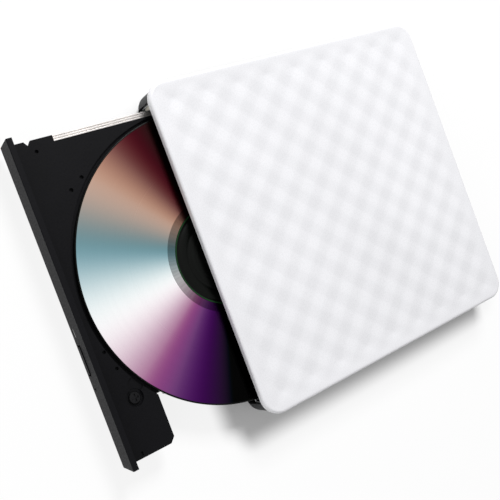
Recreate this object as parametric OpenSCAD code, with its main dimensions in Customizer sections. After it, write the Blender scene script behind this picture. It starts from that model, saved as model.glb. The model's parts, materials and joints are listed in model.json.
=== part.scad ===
// External slim disc drive: a shallow housing with an embossed lid and a tray that slides out on rails.
// Millimetres. Origin: middle of the housing's footprint on the table. The tray leaves along -Y. +Z is up.
// The tray is drawn part way out. Everything on it is laid out for the shut tray and then carried out.

/* [Housing] */
// Width of the lid across the front
lid_w = 140; // [136:0.5:150]
// Depth of the lid from front to back
lid_d = 145; // [142:0.5:156]
// Height of the whole housing over the table
total_h = 19; // [19:0.25:24]
// Plan radius of the lid's corners
lid_corner_r = 8; // [5:0.5:12]
// Radius of the lid's top edge
lid_edge_r = 1.2; // [0.6:0.1:1.4]
// Height of the lid's skirt
lid_skirt = 2.8; // [2.2:0.1:3.2]
// Wall thickness of the lid
lid_wall = 1.6; // [1.4:0.1:1.8]
// Width of the plain border round the embossed panel
lid_border = 1.8; // [1.8:0.1:3]
// Diagonal repeat of the embossed diamonds
emboss_pitch = 11; // [10:0.5:16]
// Depth of the embossed diamonds
emboss_depth = 0.7; // [0.2:0.05:0.8]
// How far the case sits inside the lid's outline
case_inset = 0.8; // [0.4:0.1:1]
// Wall thickness of the case
case_wall = 1.8; // [1.5:0.1:2]
// Thickness of the case floor
case_floor = 1.6; // [1.4:0.1:1.6]
// Radius of the case's bottom edge
case_bottom_r = 4; // [2:0.25:4]
// Height of the rubber feet under the case
foot_h = 1; // [0.8:0.1:1]
// Radius of a rubber foot
foot_r = 4.5; // [3:0.25:6]
// Sideways distance of a foot from the middle
foot_x = 54; // [45:0.5:56]
// Fore and aft distance of a foot from the middle
foot_y = 57; // [50:0.5:58]
// Shank radius of a housing screw
case_screw_r = 1.2; // [1:0.05:1.5]
// Sideways distance of a housing screw from the middle
case_screw_x = 57; // [56:0.25:58]
// Distance of the housing screws behind the middle
case_screw_y = 64; // [63.5:0.25:64.5]

/* [Drive] */
// Width of the steel drive chassis
drive_w = 128; // [127:0.25:128.5]
// Depth of the steel drive chassis
drive_d = 128; // [127.5:0.25:128.5]
// Sheet thickness of the chassis and its top plate
sheet_t = 0.5; // [0.4:0.05:0.6]
// Height of the shallow right-hand floor over the table
shelf_z = 7; // [6.6:0.1:7.1]
// Height of the chassis walls' top edge over the table
wall_top_z = 15.1; // [15:0.05:15.2]
// Sideways position of the step up to the shallow floor
shelf_x = 48.5; // [48.2:0.1:49]
// Width of a telescoping rail
rail_w = 2.3; // [2.2:0.05:2.5]
// Height of a telescoping rail
rail_h = 4.4; // [4:0.1:4.4]
// Length of a telescoping rail
rail_l = 120; // [116:1:120]
// Share of the tray's travel that the rails make
rail_share = 0.75; // [0.7:0.01:0.75]
// How far the right rail starts behind the left one
right_rail_start = 6.5; // [6:0.5:10]
// Web thickness of a rail
rail_web = 0.7; // [0.6:0.05:0.8]
// Height of a rail's side grooves
rail_groove = 1.6; // [1.4:0.1:1.8]
// Clearance between sliding faces
slide_gap = 0.2; // [0.15:0.01:0.25]
// Height of the left rail's middle over the table
left_rail_z = 8.6; // [8.5:0.05:8.7]
// Height of the right rail's middle over the table
right_rail_z = 6.9; // [6.7:0.05:7]
// Length of the flat ribbon between its two sockets
ribbon_l = 140; // [140:1:150]
// Width of the flat ribbon
ribbon_w = 14; // [10:0.5:14]
// Thickness of the flat ribbon
ribbon_t = 0.15; // [0.1:0.01:0.2]

/* [Tray] */
// How far the tray is drawn out
tray_out = 56.5; // [0:0.5:128]
// Left face of the tray's body
tray_left = -59.1; // [-59.3:0.05:-59]
// Right face of the tray's body
tray_right = 42; // [41.8:0.05:42.1]
// Depth of the tray behind the bezel
tray_d = 122; // [121:0.5:122]
// Height of the tray's upper face over the table
tray_top = 12; // [11.9:0.05:12.1]
// Depth of the disc well
well_depth = 1.2; // [1:0.1:1.3]
// Radius of the disc well
well_r = 61.2; // [60.6:0.1:61.4]
// Thickness of the tray under the well
well_floor = 1.4; // [1.2:0.1:1.5]
// Thickness of the tray's side walls
tray_wall = 1.4; // [1.2:0.1:1.6]
// Right end of the front wing
wing_right = 61.5; // [60.5:0.1:61.8]
// Depth of the front wing behind the bezel
wing_d = 18; // [15:0.1:18.5]
// Width of the bezel
bezel_w = 127; // [126:0.25:127]
// Height of the bezel
bezel_h = 11.7; // [11.3:0.1:11.8]
// Thickness of the bezel
bezel_t = 2.2; // [2:0.1:2.4]
// How much narrower the bezel is at each lower corner
bezel_taper = 0.6; // [0:0.1:1.5]
// Sideways position of the eject button
button_x = 20.5; // [20:0.25:22]
// Length of the eject button
button_l = 10.8; // [9:0.2:11]
// Height of the eject button
button_h = 2.4; // [2:0.1:2.6]
// Height of the button, light and pinhole over the table
button_z = 7.6; // [7.4:0.05:7.6]
// Inward travel of the eject button
button_travel = 0.6; // [0.4:0.05:0.8]
// Sideways position of the indicator light
light_x = 9.7; // [8.5:0.1:10]
// Length of the indicator light
light_l = 3.7; // [2.5:0.1:4]
// Sideways position of the release pinhole
pinhole_x = 31.8; // [31:0.1:33]
// Radius of the release pinhole
pinhole_r = 0.65; // [0.5:0.05:0.8]

/* [Disc and spindle] */
// Radius of the disc
disc_r = 60; // [58:0.1:60.6]
// Thickness of the disc
disc_t = 1.2; // [1.1:0.05:1.3]
// Radius of the disc's hole
disc_hole_r = 7.5; // [7.5:0.05:7.6]
// Height of the disc's underside over the table
disc_z = 11.8; // [11.7:0.05:11.9]
// Sideways position of the spindle
hub_x = 2; // [1.8:0.1:2.2]
// Distance of the spindle behind the bezel's front
hub_back = 66; // [66:0.1:68.2]
// Radius of the turntable
turntable_r = 14.5; // [14:0.1:14.8]
// Radius of the spindle shaft
shaft_r = 1.45; // [1.3:0.05:1.5]
// Running clearance of shafts and rods
run_gap = 0.05; // [0.03:0.01:0.08]
// Radius of the motor's turning bell
bell_r = 10.5; // [10:0.1:10.6]
// Inward travel of a disc claw
claw_travel = 0.6; // [0.4:0.05:0.7]

/* [Pickup] */
// Direction of the pickup's travel, turned from +X
traverse_turn = 135; // [134:0.5:136]
// Distance of the lens from the spindle
lens_r = 30; // [25:0.5:56]
// Radius of a guide rod
rod_r = 1; // [0.9:0.05:1]
// Sideways place of the main guide rod
rod_main = 12.5; // [12.3:0.05:12.6]
// Sideways place of the second guide rod
rod_second = -9.8; // [-9.9:0.05:-9.7]
// Sideways place of the lead screw
screw_line = 17.5; // [17.4:0.05:17.6]
// Height of the rods and the lead screw over the table
rod_z = 6.2; // [6.15:0.01:6.25]
// Outer radius of the lead screw
lead_r = 1; // [0.9:0.05:1]
// Thread pitch of the lead screw
lead_pitch = 3; // [2:0.5:3]

/* [Latch] */
// Sideways place of the latch pivot
latch_x = 51.5; // [51.3:0.05:51.6]
// Distance of the latch pivot behind the bezel's front
latch_back = 6.2; // [6.1:0.05:6.3]
// Swing of the latch lever from shut to free
latch_swing = 17; // [16.5:0.25:18]
// Radius of the latch pivot's shoulder
latch_pivot_r = 1.2; // [1:0.05:1.3]

/* [Hidden] */
$fn = 96;
eps = 0.01;
far = 400;
seat_gap = 0.05;
press_gap = 0.02;
part_z = total_h - lid_skirt;
lid_ceiling = total_h - lid_wall;
case_w = lid_w - 2 * case_inset;
case_d = lid_d - 2 * case_inset;
case_corner_r = lid_corner_r - case_inset;
case_in_w = case_w - 2 * case_wall;
case_in_d = case_d - 2 * case_wall;
floor_z = foot_h + case_floor;
case_front = -case_d / 2;
case_back = case_d / 2;
foot_recess = 0.4;
drive_pad = 0.3;
drive_z = floor_z + drive_pad;
pan_z = drive_z + sheet_t;
drive_front = case_front + case_wall + 0.1;
drive_back = drive_front + drive_d;
drive_side = drive_w / 2;
shelf_top = shelf_z + sheet_t;
plate_top = wall_top_z + sheet_t;
bezel_front = case_front - 1.1;
bezel_back = bezel_front + bezel_t;
bezel_z = pan_z + 0.5;
tray_front = bezel_back;
tray_back = tray_front + tray_d;
tray_under = pan_z + 2 * slide_gap;
cover_t = 0.5;
tray_base = tray_under + cover_t;
well_z = tray_top - well_depth;
deck_z = well_z - well_floor;
mouth_gap = 0.4;
mouth_w = bezel_w + 2 * mouth_gap;
mouth_z = bezel_z - 0.5;
hub_y = bezel_front + hub_back;
front_wall = 2.6;
wing_step = 5.5;
wing_x = tray_right + wing_step;
block_room = 1.2;
block_out = disc_r + block_room;
rail_side_gap = slide_gap;
left_rail_x = tray_left - rail_side_gap - rail_w / 2;
right_rail_x = tray_right + rail_side_gap + rail_w / 2;
rail_front = drive_front + 0.8;
rail_back = rail_front + rail_l;
rail_out = tray_out * rail_share;
tongue_h = rail_groove - 2 * slide_gap;
groove_d = (rail_w - rail_web) / 2;
guide_back = rail_back + 0.5;
screw_head_h = 0.6;

// Shared shapes

// A box between two corners
module box(a, b) {
    translate(a)
        cube(b - a);
}

// A flat rounded rectangle, centred
module rounded(w, d, r) {
    union() {
        square([w - 2 * r, d], center = true);
        square([w, d - 2 * r], center = true);
        for (sx = [-1, 1], sy = [-1, 1])
            translate([sx * (w / 2 - r), sy * (d / 2 - r)])
                circle(r);
    }
}

// The outer strip of a block's section, with its lower outer corner rounded
module rim_section(r, h) {
    difference() {
        square([r, h]);
        difference() {
            translate([0, -eps])
                square([r + eps, r + eps]);
            translate([0, r])
                circle(r);
        }
    }
}

// A block with rounded plan corners and a rounded bottom edge
module pebble(w, d, h, rc, re) {
    union() {
        linear_extrude(h)
            rounded(w - 2 * re, d - 2 * re, rc - re);
        for (side = [0, 1]) {
            rotate([0, 0, 180 * side])
                translate([w / 2 - re, d / 2 - rc, 0])
                    rotate([90, 0, 0])
                        linear_extrude(d - 2 * rc)
                            rim_section(re, h);
            rotate([0, 0, 90 + 180 * side])
                translate([d / 2 - re, w / 2 - rc, 0])
                    rotate([90, 0, 0])
                        linear_extrude(w - 2 * rc)
                            rim_section(re, h);
        }
        for (sx = [0, 1], sy = [0, 1])
            mirror([sx, 0, 0])
                mirror([0, sy, 0])
                    translate([w / 2 - rc, d / 2 - rc, 0])
                        rotate_extrude(angle = 90)
                            translate([rc - re, 0])
                                rim_section(re, h);
    }
}

// A ring between two radii
module ring(r_out, r_in, h) {
    linear_extrude(h)
        difference() {
            circle(r_out);
            circle(r_in);
        }
}

// A screw with a flat round head below and a shank above
module screw(head_r, head_h, shank_r, shank_l) {
    difference() {
        union() {
            cylinder(r = head_r, h = head_h);
            translate([0, 0, head_h])
                cylinder(r = shank_r, h = shank_l);
        }
        translate([0, 0, -eps])
            cylinder(r = shank_r * 0.8, h = head_h * 0.5, $fn = 6);
    }
}

// Carriers from the shut layout to where the pieces stand

module on_tray() {
    translate([0, -tray_out, 0])
        children();
}

module on_rails() {
    translate([0, -rail_out, 0])
        children();
}

module on_hub() {
    on_tray()
        translate([hub_x, hub_y, 0])
            children();
}

module on_traverse() {
    on_hub()
        rotate([0, 0, traverse_turn])
            children();
}

// Housing

// The wavy underside of the cutter that leaves the embossed diamonds
half_pitch = emboss_pitch / 2;
emboss_n = 2 * ceil((lid_w + lid_d) / sqrt(8) / emboss_pitch) + 2;
function on_edge(i) = i == 0 || i == emboss_n;
function emboss_height(i, j) = on_edge(i) || on_edge(j) ? 0 : -emboss_depth * ((i % 2) + (j % 2)) / 2;
function emboss_index(i, j) = i * (emboss_n + 1) + j;

module emboss_cutter() {
    count = (emboss_n + 1) * (emboss_n + 1);
    sheet = [
        for (i = [0 : emboss_n], j = [0 : emboss_n])
            [(i - emboss_n / 2) * half_pitch, (j - emboss_n / 2) * half_pitch, emboss_height(i, j)]
    ];
    reach = emboss_n / 2 * half_pitch;
    lid = [[-reach, -reach, 1], [reach, -reach, 1], [reach, reach, 1], [-reach, reach, 1]];
    n = emboss_n;
    under = [
        for (i = [0 : n - 1], j = [0 : n - 1])
            [emboss_index(i, j), emboss_index(i + 1, j), emboss_index(i + 1, j + 1), emboss_index(i, j + 1)]
    ];
    front = concat([count, count + 1], [for (i = [n : -1 : 0]) emboss_index(i, 0)]);
    right = concat([count + 1, count + 2], [for (j = [n : -1 : 0]) emboss_index(n, j)]);
    back = concat([count + 2, count + 3], [for (i = [0 : n]) emboss_index(i, n)]);
    left = concat([count + 3, count], [for (j = [0 : n]) emboss_index(0, j)]);
    top = [count + 3, count + 2, count + 1, count];
    intersection() {
        rotate([0, 0, 45])
            polyhedron(concat(sheet, lid), concat(under, [front, right, back, left, top]));
        translate([0, 0, -1])
            linear_extrude(3)
                rounded(lid_w - 2 * lid_border, lid_d - 2 * lid_border, lid_corner_r - lid_border);
    }
}

boss_z = 12.4;
boss_r = 2.8;
lip_drop = 1.5;
lip_t = 1.05;
lid_rib_spots = [-32, 32];
lid_rib_t = 1.2;
lid_rib_front = -46;
lid_rib_back = 40;

module top_cover() {
    color("white")
        difference() {
            union() {
                difference() {
                    translate([0, 0, total_h])
                        mirror([0, 0, 1])
                            pebble(lid_w, lid_d, lid_skirt, lid_corner_r, lid_edge_r);
                    translate([0, 0, part_z - 1])
                        linear_extrude(lid_ceiling - part_z + 1)
                            rounded(lid_w - 2 * lid_wall, lid_d - 2 * lid_wall, lid_corner_r - lid_wall);
                }
                // lip inside the case wall, open where the tray leaves
                difference() {
                    translate([0, 0, part_z - lip_drop])
                        linear_extrude(lid_ceiling - part_z + lip_drop + eps)
                            difference() {
                                rounded(case_in_w - 2 * slide_gap, case_in_d - 2 * slide_gap,
                                    case_corner_r - case_wall - slide_gap);
                                rounded(case_in_w - 2 * slide_gap - 2 * lip_t, case_in_d - 2 * slide_gap - 2 * lip_t,
                                    case_corner_r - case_wall - slide_gap - lip_t);
                            }
                    box([-drive_side - 1, -far, 0], [drive_side + 1, 0, far]);
                }
                // screw bosses
                for (s = [-1, 1])
                    translate([s * case_screw_x, case_screw_y, boss_z])
                        cylinder(r = boss_r, h = lid_ceiling - boss_z + eps);
                // ribs that hold the drive down
                for (x = lid_rib_spots)
                    box([x - lid_rib_t / 2, lid_rib_front, plate_top],
                        [x + lid_rib_t / 2, lid_rib_back, lid_ceiling + eps]);
            }
            translate([0, 0, total_h])
                emboss_cutter();
            for (s = [-1, 1])
                translate([s * case_screw_x, case_screw_y, boss_z - eps])
                    cylinder(r = case_screw_r + seat_gap, h = lid_ceiling - boss_z + 2 * eps);
        }
}

sink_r = 2.6;
sink_h = 2.4;
case_head_h = 1.4;
board_z = 4.6;
board_t = 1.2;
board_top = board_z + board_t;
bridge_left = -drive_side + 12;
bridge_right = 30;
bridge_front = drive_back + 2;
bridge_back = case_back - case_wall - 0.4;
usb_x = bridge_left + 8;
usb_w = 8;
usb_h = 2.9;
usb_d = 8.6;
usb_back = case_back - 0.4;
usb_gap = 0.3;
rib_t = 1.6;
pad_w = 8;
pad_d = 4;
pad_columns = [-50, -10, 30];
pad_rows = [-55, -10, 40];
shelf_rib_rows = [-52, -12, 36];
side_stop_rows = [-50, 0, 45];
side_stop_top = 11;
back_stop_spots = [-drive_side + 6, drive_side - 12];
back_stop_top = 9;
board_post_w = 4;
vent_pitch = 5;
vent_w = 1.8;

module bottom_case() {
    color("dimgray")
        difference() {
            union() {
                difference() {
                    translate([0, 0, foot_h])
                        pebble(case_w, case_d, part_z - foot_h, case_corner_r, case_bottom_r);
                    translate([0, 0, floor_z])
                        linear_extrude(far)
                            rounded(case_in_w, case_in_d, case_corner_r - case_wall);
                    // mouth for the tray
                    box([-mouth_w / 2, case_front - 1, mouth_z],
                        [mouth_w / 2, case_front + case_wall + 0.5, far]);
                    // relief for the drive's square front corners
                    box([-drive_side - slide_gap, case_front + case_wall, floor_z],
                        [drive_side + slide_gap, 0, far]);
                }
                // pads under the deep side of the drive
                for (x = pad_columns, y = pad_rows)
                    box([x - pad_w / 2, y - pad_d / 2, floor_z - eps],
                        [x + pad_w / 2, y + pad_d / 2, drive_z]);
                // ribs under the shallow side of the drive
                for (y = shelf_rib_rows)
                    box([shelf_x + 3.5, y - rib_t / 2, floor_z - eps],
                        [drive_side - 1, y + rib_t / 2, shelf_z]);
                // stops beside and behind the drive
                for (side = [0, 1], y = side_stop_rows)
                    mirror([side, 0, 0])
                        box([drive_side, y - rib_t / 2, floor_z - eps],
                            [case_in_w / 2 + 0.2, y + rib_t / 2, side_stop_top]);
                for (x = back_stop_spots)
                    box([x - rib_t, drive_back, floor_z - eps],
                        [x + rib_t, drive_back + rib_t, back_stop_top]);
                // posts for the housing screws
                for (s = [-1, 1])
                    translate([s * case_screw_x, case_screw_y, floor_z - eps])
                        cylinder(r = boss_r + 0.4, h = boss_z - floor_z + eps);
                // posts for the bridge board
                for (x = [bridge_left + 4, -10, bridge_right - 4])
                    box([x - board_post_w / 2, bridge_front + 2, floor_z - eps],
                        [x + board_post_w / 2, bridge_back - 2, board_z]);
            }
            for (sx = [-1, 1], sy = [-1, 1])
                translate([sx * foot_x, sy * foot_y, foot_h - eps])
                    cylinder(r = foot_r + seat_gap, h = foot_recess + eps);
            for (s = [-1, 1])
                translate([s * case_screw_x, case_screw_y, 0]) {
                    cylinder(r = sink_r, h = foot_h + sink_h);
                    cylinder(r = case_screw_r + slide_gap, h = far);
                }
            // cable socket window
            box([usb_x - usb_w / 2 - usb_gap, case_back - case_wall - 1, board_top - usb_gap],
                [usb_x + usb_w / 2 + usb_gap, case_back + 1, board_top + usb_h + usb_gap]);
            // vents under the bridge board
            for (i = [-3 : 3])
                box([i * vent_pitch - vent_w / 2, bridge_front - 8, 0],
                    [i * vent_pitch + vent_w / 2, bridge_front + 1.5, floor_z + eps]);
        }
}

module rubber_feet() {
    color("black")
        for (sx = [-1, 1], sy = [-1, 1])
            translate([sx * foot_x, sy * foot_y, 0])
                cylinder(r = foot_r, h = foot_h + foot_recess);
}

module case_screws() {
    color("silver")
        for (s = [-1, 1])
            translate([s * case_screw_x, case_screw_y, foot_h + sink_h - case_head_h])
                screw(sink_r - slide_gap, case_head_h, case_screw_r, lid_ceiling - 1.4 - foot_h - sink_h);
}

module bridge_board() {
    color("green")
        box([bridge_left, bridge_front, board_z], [bridge_right, bridge_back, board_top]);
}

bridge_chip_in = 17;
bridge_chip_w = 7;
bridge_chip_edge = 1.5;
bridge_chip_h = 1;
bridge_part_in = 10;
bridge_part_gap = 4;
bridge_part_w = 3;
bridge_part_d = 2;
bridge_part_edge = 2.5;
bridge_part_h = 1.4;

module bridge_chips() {
    chip_x = bridge_right - bridge_chip_in;
    part_x = bridge_right - bridge_part_in;
    other_x = plug_left - bridge_part_gap;
    color("black") {
        box([chip_x - bridge_chip_w, bridge_front + bridge_chip_edge, board_top],
            [chip_x, bridge_back - bridge_chip_edge, board_top + bridge_chip_h]);
        for (x = [part_x, other_x])
            box([x - bridge_part_w, bridge_front + bridge_part_edge, board_top],
                [x, bridge_front + bridge_part_edge + bridge_part_d, board_top + bridge_part_h]);
    }
}

plug_left = -31;
plug_right = -3;
plug_h = 4;
plug_tongue = 1.2;
plug_end = 2;
plug_reach = 3;
plug_step = 0.6;
plug_mid = board_top + plug_h / 2;

module data_plug() {
    color("black")
        union() {
            box([plug_left, bridge_front - plug_step, board_top],
                [plug_right, bridge_front + 4, board_top + plug_h]);
            box([plug_left + plug_end, bridge_front - plug_reach, plug_mid - plug_tongue / 2],
                [plug_right - plug_end, bridge_front, plug_mid + plug_tongue / 2]);
        }
}

usb_shell = 0.4;
usb_end = 1;
usb_tongue_w = 5.2;
usb_tongue_t = 0.6;

module usb_socket() {
    color("silver")
        difference() {
            box([usb_x - usb_w / 2, usb_back - usb_d, board_top],
                [usb_x + usb_w / 2, usb_back, board_top + usb_h]);
            box([usb_x - usb_w / 2 + usb_shell, usb_back - usb_d + usb_end, board_top + usb_shell],
                [usb_x + usb_w / 2 - usb_shell, usb_back + 1, board_top + usb_h - usb_shell]);
        }
}

module usb_tongue() {
    color("black")
        box([usb_x - usb_tongue_w / 2, usb_back - usb_d + usb_end, board_top + usb_h / 2 - usb_tongue_t / 2],
            [usb_x + usb_tongue_w / 2, usb_back - 1.4, board_top + usb_h / 2 + usb_tongue_t / 2]);
}

// Fixed half of the drive

back_window_z = 5.2;
socket_gap = 0.2;
tab_l = 6;
tab_t = 0.8;
plate_screw_r = 0.8;
plate_head_r = 1.7;
plate_screw_in = 3;
plate_screw_rows = [drive_front + 4, drive_back - 4];

module drive_chassis() {
    color("lightgray")
        difference() {
            union() {
                box([-drive_side, drive_front, drive_z], [shelf_x + sheet_t, drive_back, pan_z]);
                box([shelf_x, drive_front, drive_z], [shelf_x + sheet_t, drive_back, shelf_top]);
                box([shelf_x, drive_front, shelf_z], [drive_side, drive_back, shelf_top]);
                box([-drive_side, drive_front, drive_z], [-drive_side + sheet_t, drive_back, wall_top_z]);
                box([drive_side - sheet_t, drive_front, shelf_z], [drive_side, drive_back, wall_top_z]);
                box([-drive_side, drive_back - sheet_t, drive_z],
                    [shelf_x + sheet_t, drive_back, wall_top_z]);
                box([shelf_x, drive_back - sheet_t, shelf_z], [drive_side, drive_back, wall_top_z]);
                // tabs for the top plate's screws
                for (s = [-1, 1], y = plate_screw_rows)
                    box([min(s * drive_side, s * (drive_side - tab_l)), y - tab_l / 2, wall_top_z - tab_t],
                        [max(s * drive_side, s * (drive_side - tab_l)), y + tab_l / 2, wall_top_z]);
                // steps that carry the rear board
                for (x = [plug_left - 3, plug_right + 8, shelf_x - 4.5])
                    box([x - 2, drive_back - 4, pan_z - eps], [x + 2, drive_back, rear_board_z]);
            }
            for (s = [-1, 1], y = plate_screw_rows)
                translate([s * (drive_side - plate_screw_in), y, wall_top_z - tab_t - 1])
                    cylinder(r = plate_screw_r + seat_gap, h = tab_t + 2);
            // window for the data socket
            box([plug_left - socket_gap, drive_back - 1, rear_board_top - eps],
                [plug_right + socket_gap, drive_back + 1, board_top + plug_h + socket_gap]);
            // lightening holes in the pan
            for (x = [-40, -5], y = [-40, 0])
                translate([x, y, 0])
                    cylinder(r = 6, h = pan_z + eps);
        }
}

tab_front_l = 1.4;

plate_slot_x = drive_side - 19;
plate_slot_l = 6;
plate_slot_w = 2;
plate_slot_in = 24;

module drive_top_plate() {
    color("silver")
        difference() {
            union() {
                box([-drive_side, drive_front, wall_top_z], [drive_side, drive_back, plate_top]);
                // turned-down spring tab beside the mouth
                box([-drive_side + 1.2, drive_front, wall_top_z - 2.2],
                    [-drive_side + 1.2 + tab_front_l, drive_front + sheet_t, wall_top_z + eps]);
            }
            for (s = [-1, 1], y = plate_screw_rows)
                translate([s * (drive_side - plate_screw_in), y, wall_top_z - 1])
                    cylinder(r = plate_screw_r + 0.15, h = sheet_t + 2);
            for (x = [-plate_slot_x, plate_slot_x])
                box([x - plate_slot_l / 2, drive_back - plate_slot_in, wall_top_z - 1],
                    [x + plate_slot_l / 2, drive_back - plate_slot_in + plate_slot_w, plate_top + 1]);
        }
}

module plate_screws() {
    color("silver")
        for (s = [-1, 1], y = plate_screw_rows)
            translate([s * (drive_side - plate_screw_in), y, plate_top + screw_head_h])
                mirror([0, 0, 1])
                    screw(plate_head_r, screw_head_h, plate_screw_r, sheet_t + tab_t);
}

// Guide tongue on a base, seen along the travel
guide_drop = 3.2;
guide_rise = 3;

module left_guide() {
    base_x = left_rail_x - rail_w / 2 - slide_gap;
    tip_x = left_rail_x - rail_web / 2 - slide_gap;
    color("whitesmoke")
        union() {
            box([-drive_side + sheet_t, rail_front, left_rail_z - guide_drop],
                [base_x, guide_back, left_rail_z + guide_rise]);
            box([base_x - eps, rail_front, left_rail_z - tongue_h / 2],
                [tip_x, guide_back, left_rail_z + tongue_h / 2]);
        }
}

module right_guide() {
    base_x = right_rail_x + rail_w / 2 + slide_gap;
    tip_x = right_rail_x + rail_web / 2 + slide_gap;
    color("whitesmoke")
        union() {
            box([base_x, rail_front, pan_z], [wing_x - 2 * slide_gap, guide_back, right_rail_z + rail_h / 2]);
            box([tip_x, rail_front, right_rail_z - tongue_h / 2],
                [base_x + eps, guide_back, right_rail_z + tongue_h / 2]);
        }
}

rear_board_z = 5;
rear_board_t = 0.8;
rear_board_gap = 0.6;
rear_board_over = 5;
rear_board_in = 2.5;
socket_d = 4;
rear_board_top = rear_board_z + rear_board_t;

module drive_board() {
    color("green")
        box([plug_left - rear_board_over, tray_back + rear_board_gap, rear_board_z],
            [shelf_x - rear_board_in, drive_back - sheet_t, rear_board_top]);
}

module data_socket() {
    color("black")
        difference() {
            box([plug_left, drive_back - socket_d, rear_board_top],
                [plug_right, bridge_front - plug_step, board_top + plug_h]);
            box([plug_left + plug_end - socket_gap, bridge_front - plug_reach - socket_gap,
                plug_mid - plug_tongue / 2 - socket_gap],
                [plug_right - plug_end + socket_gap, bridge_front, plug_mid + plug_tongue / 2 + socket_gap]);
        }
}

ribbon_x = tray_right - 10;
ribbon_low = pan_z + 0.02;
ribbon_high = 6.9;
ribbon_fixed_y = tray_back + 1;
tray_socket_y = tray_back - 7;
bend_r = (ribbon_high + ribbon_t - ribbon_low) / 2;
bend_y = (ribbon_fixed_y + tray_socket_y - tray_out - ribbon_l + PI * bend_r) / 2;

// Ribbon that turns back on itself under the tray
module ribbon() {
    color("ivory")
        translate([ribbon_x - ribbon_w / 2, 0, 0])
            union() {
                box([0, bend_y, ribbon_low], [ribbon_w, ribbon_fixed_y, ribbon_low + ribbon_t]);
                box([0, bend_y, ribbon_high], [ribbon_w, tray_socket_y - tray_out, ribbon_high + ribbon_t]);
                translate([0, bend_y, ribbon_low + bend_r])
                    rotate([90, 0, 90])
                        linear_extrude(ribbon_w)
                            difference() {
                                circle(bend_r);
                                circle(bend_r - ribbon_t);
                                translate([0, -bend_r - 1])
                                    square(2 * bend_r + 2);
                            }
            }
}

module ribbon_socket() {
    color("white")
        box([ribbon_x - ribbon_w / 2 - 1, ribbon_fixed_y, pan_z],
            [ribbon_x + ribbon_w / 2 + 1, ribbon_fixed_y + 4,
            rear_board_z]);
}

pin_x = wing_x + 9;
pin_back = 12.3;
pin_r = 1;
pin_top = 10.1;

module latch_pin() {
    color("silver")
        translate([pin_x, bezel_front + pin_back, shelf_top])
            union() {
                cylinder(r = pin_r, h = pin_top - shelf_top);
                cylinder(r = pin_r + 0.6, h = 0.5);
            }
}

// One telescoping rail, seen along the travel: grooves both sides and fine ridges on top
module rail(z, l) {
    ridge = 0.25;
    rotate([90, 0, 0])
        translate([0, z, -rail_back])
            linear_extrude(l)
                difference() {
                    square([rail_w, rail_h], center = true);
                    for (s = [-1, 1]) {
                        translate([s * (rail_w / 2), 0])
                            square([2 * groove_d, rail_groove], center = true);
                        translate([s * rail_w / 5, rail_h / 2])
                            square([ridge, 2 * ridge], center = true);
                    }
                }
}

module left_rail() {
    color("lightgray")
        on_rails()
            translate([left_rail_x, 0, 0])
                rail(left_rail_z, rail_l);
}

module right_rail() {
    color("lightgray")
        on_rails()
            translate([right_rail_x, 0, 0])
                rail(right_rail_z, rail_l - right_rail_start);
}

// Tray

wing_under = deck_z - 1.4;
wing_roof = 10.6;
wing_wall = 1.2;
wing_back = tray_front + wing_d;
flange_t = 1;
flange_l = 15.4;
flange_left = left_rail_x - rail_w / 2 + 0.1;
tongue_tip_left = left_rail_x + rail_web / 2 + slide_gap;
tongue_tip_right = right_rail_x - rail_web / 2 - slide_gap;
damper_spots = [[-9, 17], [block_out - 6.2, 23], [20, -16.5]];
damper_post_r = 1.65;
damper_post_z = rod_z + 0.9;
damper_neck_r = 2.65;
damper_r = 3.3;
damper_lip = 0.8;
cover_left = tray_left + 5.1;
cover_front = tray_front + 10.6;
cover_back = tray_back - 5.4;
cover_spots = [
    [cover_left, cover_front], [cover_left, cover_back - 2], [-20, cover_front - 2], [tray_right - 5, cover_front],
    [20, cover_back], [-8, cover_back]
];
cover_boss_r = 2;
cover_screw_r = 0.8;
cover_head_r = 1.75;
cover_head_lift = 0.05;
cover_shank = 3;
clip_spots = [tray_left + 11.1, -14, tray_right + 3];
clip_w = 5;
clip_h = 1.4;
clip_d = 1.6;
clip_z = 10.4;
flange_pocket = 1.6;
button_flange = 1;
stem_w = 3;
stem_h = 1.4;
wing_screw_spot = [40, 11.4];
wing_screw_sink = 3.4;
wing_sink_d = 1;
wing_head_h = 0.8;
wing_shank = 1;
slot_gap = 1.4;
slot_end = block_out + 0.8;
turntable_gap = 0.8;

module tray_outline() {
    union() {
        translate([tray_left, tray_front])
            square([tray_right - tray_left, tray_d]);
        polygon([
            [tray_right - 1, tray_front], [wing_right, tray_front], [wing_right, wing_back - 2],
            [wing_right - 2, wing_back], [tray_right - 1, wing_back]
        ]);
    }
}

// Slot over the pickup's travel, in the traverse's own frame
module pickup_slot(h) {
    box([0, -frame_half - slot_gap, 0], [slot_end, frame_half + slot_gap, h]);
}

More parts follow.
